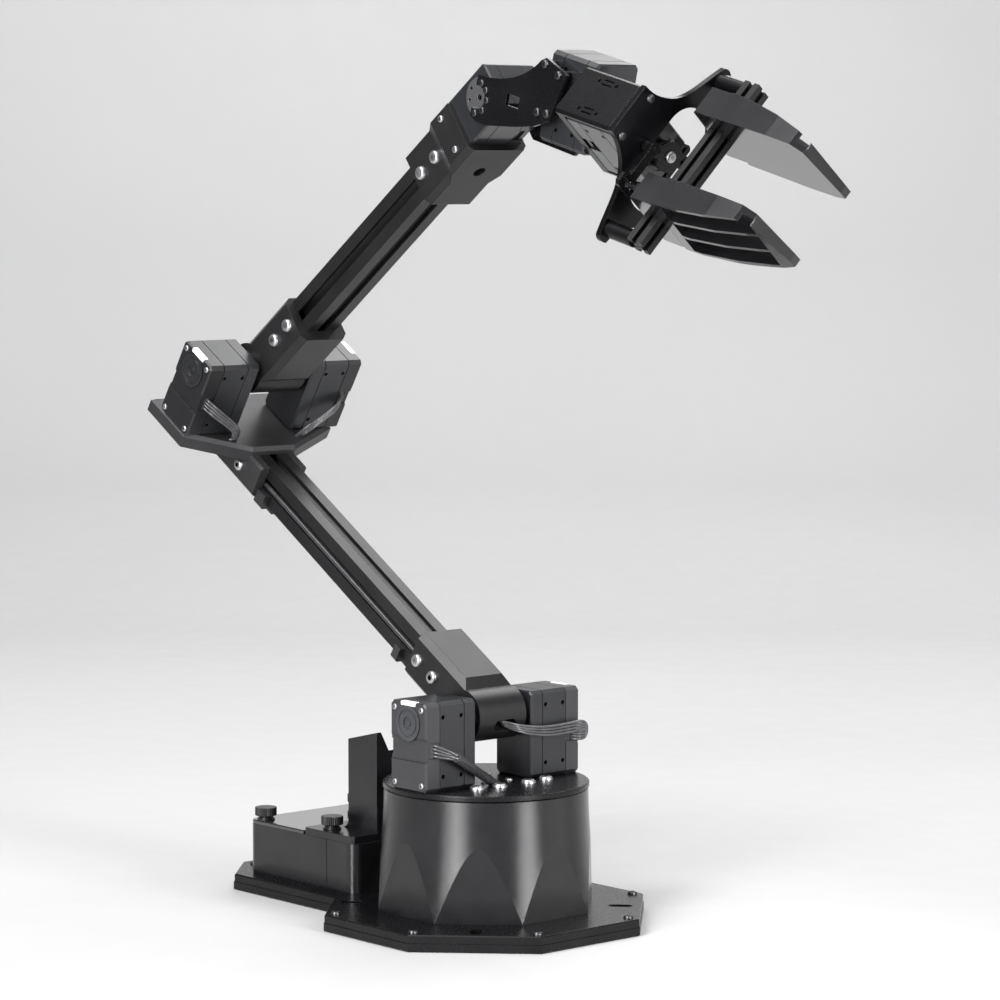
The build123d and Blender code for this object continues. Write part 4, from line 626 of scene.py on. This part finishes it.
def add_screw(bm, place, head_r, head_h, shank_r, depth):
    """Add one button screw to a bmesh: a spun dome and shank, bridged to a hexagon socket."""
    one = bmesh.new()
    dome = [(head_r * r, head_h * z) for r, z in DOME]
    shank = [(shank_r, 0.0), (shank_r, -depth), (0.0, -depth)]
    line = [one.verts.new(place @ Vector((r, 0, z))) for r, z in dome + shank]
    edges = [one.edges.new(pair) for pair in zip(line, line[1:])]
    bmesh.ops.spin(
        one, geom=line + edges, cent=place.translation, axis=place.to_3x3() @ Vector((0, 0, 1)),
        dvec=(0, 0, 0), angle=2 * math.pi, steps=HEAD_STEPS, use_merge=True,
    )
    bmesh.ops.remove_doubles(one, verts=one.verts, dist=0.002 * MM)
    add_socket(one, place, head_r, head_h)
    to_local = place.inverted()
    rims = []
    for edge in one.edges:
        ends = [to_local @ v.co for v in edge.verts]
        on_top = all(abs(end.z - head_h) < 0.01 * MM for end in ends)
        if edge.is_boundary and on_top:
            rims.append(edge)
    bmesh.ops.bridge_loops(one, edges=rims)
    bmesh.ops.recalc_face_normals(one, faces=one.faces)
    mesh = bpy.data.meshes.new("one_screw")
    one.to_mesh(mesh)
    one.free()
    bm.from_mesh(mesh)
    bpy.data.meshes.remove(mesh)


print("steps round a head:", HEAD_STEPS)

# %% Domed screws in place of the pegs
BODY_OF = {
    "plate_screws": "base",
    "disc_screws": "turntable",
    "shoulder_servo_screws": "turntable",
    "upper_arm_screws": "upper_arm",
    "elbow_servo_screws": "upper_arm",
    "forearm_screws": "forearm",
    "wrist_screws": "wrist",
    "wing_screws": "gripper",
    "crank_screw": "crank_arm",
}
for node, body in BODY_OF.items():
    bm = bmesh.new()
    for points in pegs[node]:
        add_screw(bm, *peg_axes(points))
    made = piece(f"{node}_domed", bm, body, SPECIAL.get(node, steel), smooth=True)
    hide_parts(node)
    print(node, len(pegs[node]))

# %% [markdown]
# ## Thumb knobs
#
# The lid is held by four turned knobs: a wide knurled head on top, a narrow neck and a stepped collar
# that stands on the lid. A cylinder with many sides gives the head, and pulling in every second pair
# of side edges gives the knurl.

# %% Knurled knobs in place of the plain ones
KNOB_R = 6.0
KNOB_SIDES = 72
KNOB_H = 7.2
KNOB_STEPS = ((5.0, 0.9), (4.2, 0.8), (3.3, 0.8))
KNURL = 0.955
STEP_EDGE = 0.15
HEAD_EDGE = 0.3


def add_knob(bm, x, y, top):
    """One knob on an upright axis, with its places in millimetres."""
    place = shift(x, y, 0)
    axis = place.translation
    z = top - KNOB_H
    for radius, tall in KNOB_STEPS:
        step = add_cylinder(bm, radius, z, z + tall, place)
        soften(bm, cap_edges(step), STEP_EDGE)
        z += tall
    head = add_cylinder(bm, KNOB_R, z, top, place, sides=KNOB_SIDES)
    head.sort(key=lambda v: math.atan2(v.co.y - axis.y, v.co.x - axis.x))
    for n, vert in enumerate(head):
        if (n // 2) % 2:
            vert.co.xy = axis.xy + (vert.co.xy - axis.xy) * KNURL
    soften(bm, cap_edges(head), HEAD_EDGE, segments=1)


bm = bmesh.new()
for points in pegs["thumb_screws"]:
    middle = (points.min(axis=0) + points.max(axis=0)) / 2
    add_knob(bm, middle[0] / MM, middle[1] / MM, float(points[:, 2].max()) / MM)
knobs = piece("thumb_knobs", bm, "base", knob_black)
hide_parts("thumb_screws")
print("knobs:", len(pegs["thumb_screws"]))

# %% [markdown]
# ## Wires
#
# A wire is a limp line of fixed length, so each is one NURBS curve whose control points are the route
# that the CAD tube follows, with a round bevel. The curve cuts inside the corners and bends as a real
# wire does. It is turned into a mesh.

# %% Tubes along smooth curves


def wire_mesh(name, routes, radius, place, body, material):
    """Tubes along NURBS curves through the routes, in millimetres in a link's frame."""
    curve = bpy.data.curves.new(name, "CURVE")
    curve.dimensions = "3D"
    curve.bevel_depth = radius * MM
    curve.bevel_resolution = 4
    curve.resolution_u = 10
    curve.use_fill_caps = True
    for route in routes:
        spline = curve.splines.new("NURBS")
        spline.points.add(len(route) - 1)
        for point, knot in zip(spline.points, route):
            point.co = (*(place @ (Vector(knot) * MM)), 1.0)
        spline.order_u = 3
        spline.use_endpoint_u = True
    source = bpy.data.objects.new(f"{name}_curve", curve)
    mesh = bpy.data.meshes.new_from_object(source)
    bpy.data.objects.remove(source)
    mesh.name = name
    mesh.materials.clear()
    mesh.materials.append(material)
    mesh.shade_smooth()
    obj = bpy.data.objects.new(name, mesh)
    bpy.context.scene.collection.objects.link(obj)
    if body:
        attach(obj, body)
    return obj


WIRE_R = 0.7
WIRE_PITCH = 1.9
FAN = (-1.5, -0.5, 0.5, 1.5)
PLUG_X = 13.4
PLUG_FLOOR = 12.25
PLUG_MID_Y = 47.6
print("wires to a plug:", len(FAN))

# %% [markdown]
# Each elbow servo's four wires leave the recess in its side and dive into the plate below. The pair
# is mirrored, so one function draws both.

# %% Elbow wires
PLATE_FACE = 14.5


def elbow_routes(side):
    """Wires of an elbow servo, from its plug back into the plate, in the upper arm's frame."""
    plug_x, plug_z = ELBOW_X - PLUG_X, ELBOW_Z - PLUG_FLOOR
    return [
        [
            (plug_x + s * WIRE_PITCH, side * PLUG_MID_Y, plug_z + 0.5),
            (plug_x + s * WIRE_PITCH, side * PLUG_MID_Y, plug_z - 5.5),
            (25.5 + s * 1.5, side * 29.0, 227.8),
            (19.0 + s * 1.5, side * (22.5 - s * 0.2), 228.8),
            (PLATE_FACE, side * (23.5 - s * 1.5), 231.5),
        ]
        for s in FAN
    ]


for side, label in ((-1, "near"), (1, "far")):
    routes = elbow_routes(side)
    wires = wire_mesh(f"elbow_wires_{label}", routes, WIRE_R, upper, "upper_arm", wire_grey)
    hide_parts("elbow_cables")
    print(wires.name, len(routes))

# %% [markdown]
# The far shoulder servo's wires come out of the bracket that turns, so they bend when the shoulder
# moves. Here they are one mesh in the world's axes, attached to no body.

# %% Wires across the shoulder


def bridge_routes():
    """Wires from the boss of the shoulder bracket round to the far servo's plug."""
    out, along = Vector((0.9285, 0, -0.3714)), Vector((-0.3714, 0, -0.9285))
    centre = Vector((0, 0, SHOULDER_Z))
    routes = []
    for s in FAN:
        low = SHOULDER_Z - PLUG_X - 1.1 + s * WIRE_PITCH * 0.75
        routes.append([
            tuple(centre + out * 10.0 + along * s + Vector((0, 2.0 + s, 0))),
            tuple(centre + out * 17.2 + along * (s * 1.3) + Vector((0, 5.0 + s, 0))),
            (18.0, 24.0, 100.4 - s * 1.5),
            (18.6, 42.0, 100.9 - s * 1.6),
            (18.2, 55.6, 101.8 - s * 1.5),
            (18.0, 55.6, low),
            (18.0, PLUG_MID_Y, low),
            (PLUG_FLOOR, PLUG_MID_Y, low),
        ])
    return routes


bridge = wire_mesh("bridge_wires", bridge_routes(), WIRE_R, PLAIN, None, wire_grey)
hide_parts("shoulder_bridge_cable")
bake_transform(bridge)
print(bridge.name, len(FAN))

# %% [markdown]
# The near shoulder servo's wires gather in a woven sleeve that goes down through the disc. A short
# length of heat-shrink tube, a little wider than the sleeve, holds its upper end.

# %% Wires into the sleeve
SLEEVE_TOP = Vector((20.2, -37.5, 93.4))
SLEEVE_FOOT = Vector((15.2, -6.3, 75.3))
SLEEVE_R = 2.45
SHRINK_R = 2.5
SHRINK_SHARE = 0.36
SHRINK_LAP = 0.04


def sleeve_routes():
    """Wires of the near shoulder servo, from its plug into the sleeve."""
    plug_z = SHOULDER_Z - PLUG_X
    routes = []
    for n, s in enumerate(FAN):
        start = (PLUG_FLOOR, -PLUG_MID_Y, plug_z + s * WIRE_PITCH)
        knee = (PLUG_FLOOR + 5.0, -PLUG_MID_Y, plug_z + s * WIRE_PITCH)
        end = SLEEVE_TOP + Vector((0.8 if n % 2 else -0.8, 0, s * 0.8))
        routes.append([start, knee, tuple(end)])
    return routes


def straight(start, end):
    """Route of a straight tube, with its middle point."""
    return [tuple(start), tuple(start.lerp(end, 0.5)), tuple(end)]


gathered = wire_mesh("shoulder_wires", sleeve_routes(), WIRE_R, PLAIN, "turntable", wire_grey)
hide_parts("shoulder_cable")
split = SLEEVE_TOP.lerp(SLEEVE_FOOT, SHRINK_SHARE)
lap = split.lerp(SLEEVE_FOOT, SHRINK_LAP)
route = [straight(split, SLEEVE_FOOT)]
sleeve = wire_mesh("sleeve", route, SLEEVE_R, PLAIN, "turntable", braid_black)
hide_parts("shoulder_cable")
route = [straight(SLEEVE_TOP, lap)]
shrink = wire_mesh("sleeve_shrink", route, SHRINK_R, PLAIN, "turntable", shrink_grey)
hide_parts("shoulder_cable")
print("sleeve:", round((SLEEVE_FOOT - SLEEVE_TOP).length, 1), "mm")

# %% [markdown]
# One darker wire lies straight in the near slot of the upper bar.

# %% Wire in the bar's slot
ARM_WIRE_R = 1.5
route = [(-1.3, -8.4, z) for z in (51.0, 100.0, 160.0, 209.0)]
arm_wire = wire_mesh("arm_wire", [route], ARM_WIRE_R, upper, "upper_arm", wire_dark)
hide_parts("arm_cable")
print("in the slot:", route[-1][2] - route[0][2], "mm")

# %% [markdown]
# ## Servo trim
#
# Five servos show a white window bar on their backs, wrapped over the edge of the short end. Three
# show bright corner screws that the solid model leaves out. Both are drawn in the servo's own axes and
# placed by its frame. The shoulder and elbow servos also have a grey plug in the recess that their
# wires come out of, drawn in the axes of the link.

# %% Windows
BACK = -SERVO_D / 2
WINDOW_FOOT = 8.9
WINDOW_HALF = 6.0
WINDOW_WRAP = 3.2
WINDOW_EDGE = 0.5
PROUD = 0.12
WINDOWED = ("shoulder_near", "shoulder_far", "elbow_near", "elbow_far", "roll")
for name in WINDOWED:
    place, body = servos[name]
    bm = bmesh.new()
    low = (WINDOW_FOOT, -WINDOW_HALF, BACK - PROUD)
    high = (SERVO_SHORT + PROUD, WINDOW_HALF, BACK + WINDOW_WRAP)
    add_block(bm, low, high, place, bevel=WINDOW_EDGE)
    piece(f"{name}_window", bm, body, window_white)
print("windows:", len(WINDOWED))

# %% Corner screws
CORNER_IN = 3.6
CORNER_HALF = 10.65
CORNER_HEAD_R, CORNER_HEAD_H = 1.6, 0.35
CORNER_SHANK_R, CORNER_DEPTH = 0.8, 1.0
CORNERS = [
    (x, y) for x in (SERVO_SHORT - CORNER_IN, CORNER_IN - SERVO_LONG) for y in (-CORNER_HALF, CORNER_HALF)
]
CORNERED = ("wrist", "roll", "gripper")
sizes = [size * MM for size in (CORNER_HEAD_R, CORNER_HEAD_H, CORNER_SHANK_R, CORNER_DEPTH)]
for name in CORNERED:
    place, body = servos[name]
    bm = bmesh.new()
    for x, y in CORNERS:
        add_screw(bm, place @ shift(x, y, BACK) @ turn("X", 180), *sizes)
    piece(f"{name}_corner_screws", bm, body, steel, smooth=True)
print("corner screws:", len(CORNERED) * len(CORNERS))

# %% Plugs
PLUG_LONG, PLUG_WIDE, PLUG_DEEP = 4.2, 1.6, 1.1
PLUG_REACH = 12.3
DOWN_SIDE = (PLUG_DEEP, PLUG_WIDE, PLUG_LONG)
LEVEL_SIDE = (PLUG_LONG, PLUG_WIDE, PLUG_DEEP)
shoulder_z = SHOULDER_Z - PLUG_X
elbow_x, elbow_z = ELBOW_X - PLUG_X, ELBOW_Z - PLUG_REACH
PLUGS = {
    "shoulder_near": (PLAIN, (PLUG_REACH, -PLUG_MID_Y, shoulder_z), DOWN_SIDE, "turntable"),
    "shoulder_far": (PLAIN, (PLUG_REACH, PLUG_MID_Y, shoulder_z), DOWN_SIDE, "turntable"),
    "elbow_near": (upper, (elbow_x, -PLUG_MID_Y, elbow_z), LEVEL_SIDE, "upper_arm"),
    "elbow_far": (upper, (elbow_x, PLUG_MID_Y, elbow_z), LEVEL_SIDE, "upper_arm"),
}
for name, (place, middle, half, body) in PLUGS.items():
    bm = bmesh.new()
    low = [m - h for m, h in zip(middle, half)]
    high = [m + h for m, h in zip(middle, half)]
    add_block(bm, low, high, place)
    piece(f"{name}_plug", bm, body, plug_grey)
print("plugs:", len(PLUGS))

# %% [markdown]
# ## Floor
#
# A product studio's floor is a pale sheet that curves up behind the object, so that no horizon cuts
# the picture. A strip of five straight stretches, shaded smooth, gives that curve with few faces. It
# is turned to stand square to the camera.

# %% Floor
FLOOR_HALF = 6.0
FLOOR_TURN = 48.87
FLOOR_PROFILE = ((-6.0, 0.0), (1.2, 0.0), (1.7, 0.08), (2.05, 0.3), (2.2, 0.7), (2.25, 3.0))
bm = bmesh.new()
rows = [[bm.verts.new((x, away, up)) for x in (-FLOOR_HALF, FLOOR_HALF)] for away, up in FLOOR_PROFILE]
for low_row, high_row in zip(rows, rows[1:]):
    bm.faces.new((low_row[0], low_row[1], high_row[1], high_row[0]))
floor_mesh = bpy.data.meshes.new("studio_floor")
bm.to_mesh(floor_mesh)
bm.free()
floor_mesh.shade_smooth()
floor_obj = bpy.data.objects.new("studio_floor", floor_mesh)
floor_obj.matrix_world = turn("Z", FLOOR_TURN)
bpy.context.scene.collection.objects.link(floor_obj)
paint = Graph("floor_paint")
floor_mesh.materials.append(paint.finish(
    Base_Color=paint.tint(paint.noise(3.0), (0.43, 0.43, 0.43), (0.45, 0.45, 0.45)),
    Roughness=paint.spread(paint.noise(40.0), 0.5, 0.62),
))
print("floor rows:", len(rows))

# %% [markdown]
# ## Light
#
# Black pieces show what they mirror, so the light is made of soft boxes, each placed where one face
# mirrors it to the camera. Two tall strips make the two upright highlights on the drum. A weak box at
# the side lifts the long faces, a broad one above gives the tops, and one high in front shines on the
# fingers. Two small ones behind keep the far edges and the backdrop clear.

# %% Soft boxes


def soft_light(name, at, towards, size, power):
    """Rectangular soft box that faces a point and that the camera doesn't see."""
    data = bpy.data.lights.new(name, "AREA")
    data.shape = "RECTANGLE"
    data.size, data.size_y = size
    data.energy = power
    obj = bpy.data.objects.new(name, data)
    obj.location = at
    way = Vector(towards) - Vector(at)
    obj.rotation_euler = way.to_track_quat("-Z", "Y").to_euler()
    obj.visible_camera = False
    bpy.context.scene.collection.objects.link(obj)


def standing_box(name, azimuth, distance, width, height, power):
    """Soft box that stands on the floor and faces the arm."""
    angle = math.radians(azimuth)
    x, y = distance * math.cos(angle), distance * math.sin(angle)
    soft_light(name, (x, y, height / 2), (0, 0, height / 2), (width, height), power)


standing_box("strip_left", azimuth=-74.0, distance=1.7, width=0.46, height=1.5, power=44)
standing_box("strip_right", azimuth=5.0, distance=1.7, width=0.36, height=1.5, power=38)
standing_box("box_side", azimuth=42.0, distance=2.1, width=1.1, height=1.3, power=6)
soft_light("box_top", at=(0.1, -0.1, 2.0), towards=(0, 0, 0.2), size=(1.8, 1.8), power=16)
soft_light("box_back", at=(-0.5, 1.3, 1.45), towards=(0, 0, 0.3), size=(1.0, 0.7), power=12)
soft_light("box_finger", at=(-0.12, -1.12, 1.80), towards=(0.15, 0, 0.42), size=(0.8, 0.8), power=34)
soft_light("backdrop_wash", at=(-0.5, 0.5, 1.9), towards=(-1.6, 1.4, 0.7), size=(1.2, 0.5), power=14)
print("soft boxes:", len(bpy.data.lights))

# %% Fill light and tone
WORLD_TINT = (0.96, 0.97, 1.0, 1)
WORLD_STRENGTH = 0.2
world = bpy.data.worlds.new("studio")
world.use_nodes = True
background = world.node_tree.nodes["Background"]
background.inputs["Color"].default_value = WORLD_TINT
background.inputs["Strength"].default_value = WORLD_STRENGTH
bpy.context.scene.world = world
bpy.context.scene.view_settings.view_transform = "Standard"
print("fill:", WORLD_STRENGTH)

# %% [markdown]
# ## Camera
#
# The camera was fitted to the photograph: its place, its direction and its focal length in pixels
# put the plate, the servos and the joints where the photograph shows them. A long lens from about
# 2 m away gives the photograph's flat perspective.

# %% Camera
CAMERA_AT = (1.44765, -1.25446, 0.39597)
CAMERA_WAY = Vector((-0.750167, 0.655154, -0.089729))
CAMERA_TURN = 0.85295
FOCAL_PX = 3671.609
PICTURE_PX = 1000.0
SENSOR = 36.0
right_way = Vector((math.cos(CAMERA_TURN), math.sin(CAMERA_TURN), 0))
up_way = right_way.cross(CAMERA_WAY)
camera_data = bpy.data.cameras.new("camera")
camera_data.sensor_width = SENSOR
camera_data.lens = SENSOR * FOCAL_PX / PICTURE_PX
camera_data.clip_start = 0.05
camera_data.clip_end = 20.0
camera = bpy.data.objects.new("camera", camera_data)
axes = Matrix((right_way, up_way, -CAMERA_WAY)).transposed().to_4x4()
camera.matrix_world = Matrix.Translation(CAMERA_AT) @ axes
bpy.context.scene.collection.objects.link(camera)
bpy.context.scene.camera = camera
print("camera lens:", round(camera_data.lens, 1), "mm")

# %% [markdown]
# ## Sizes and finish
#
# The dressed part has to fill the same box as the solids.

# %% Sizes and finish
print("scene done")
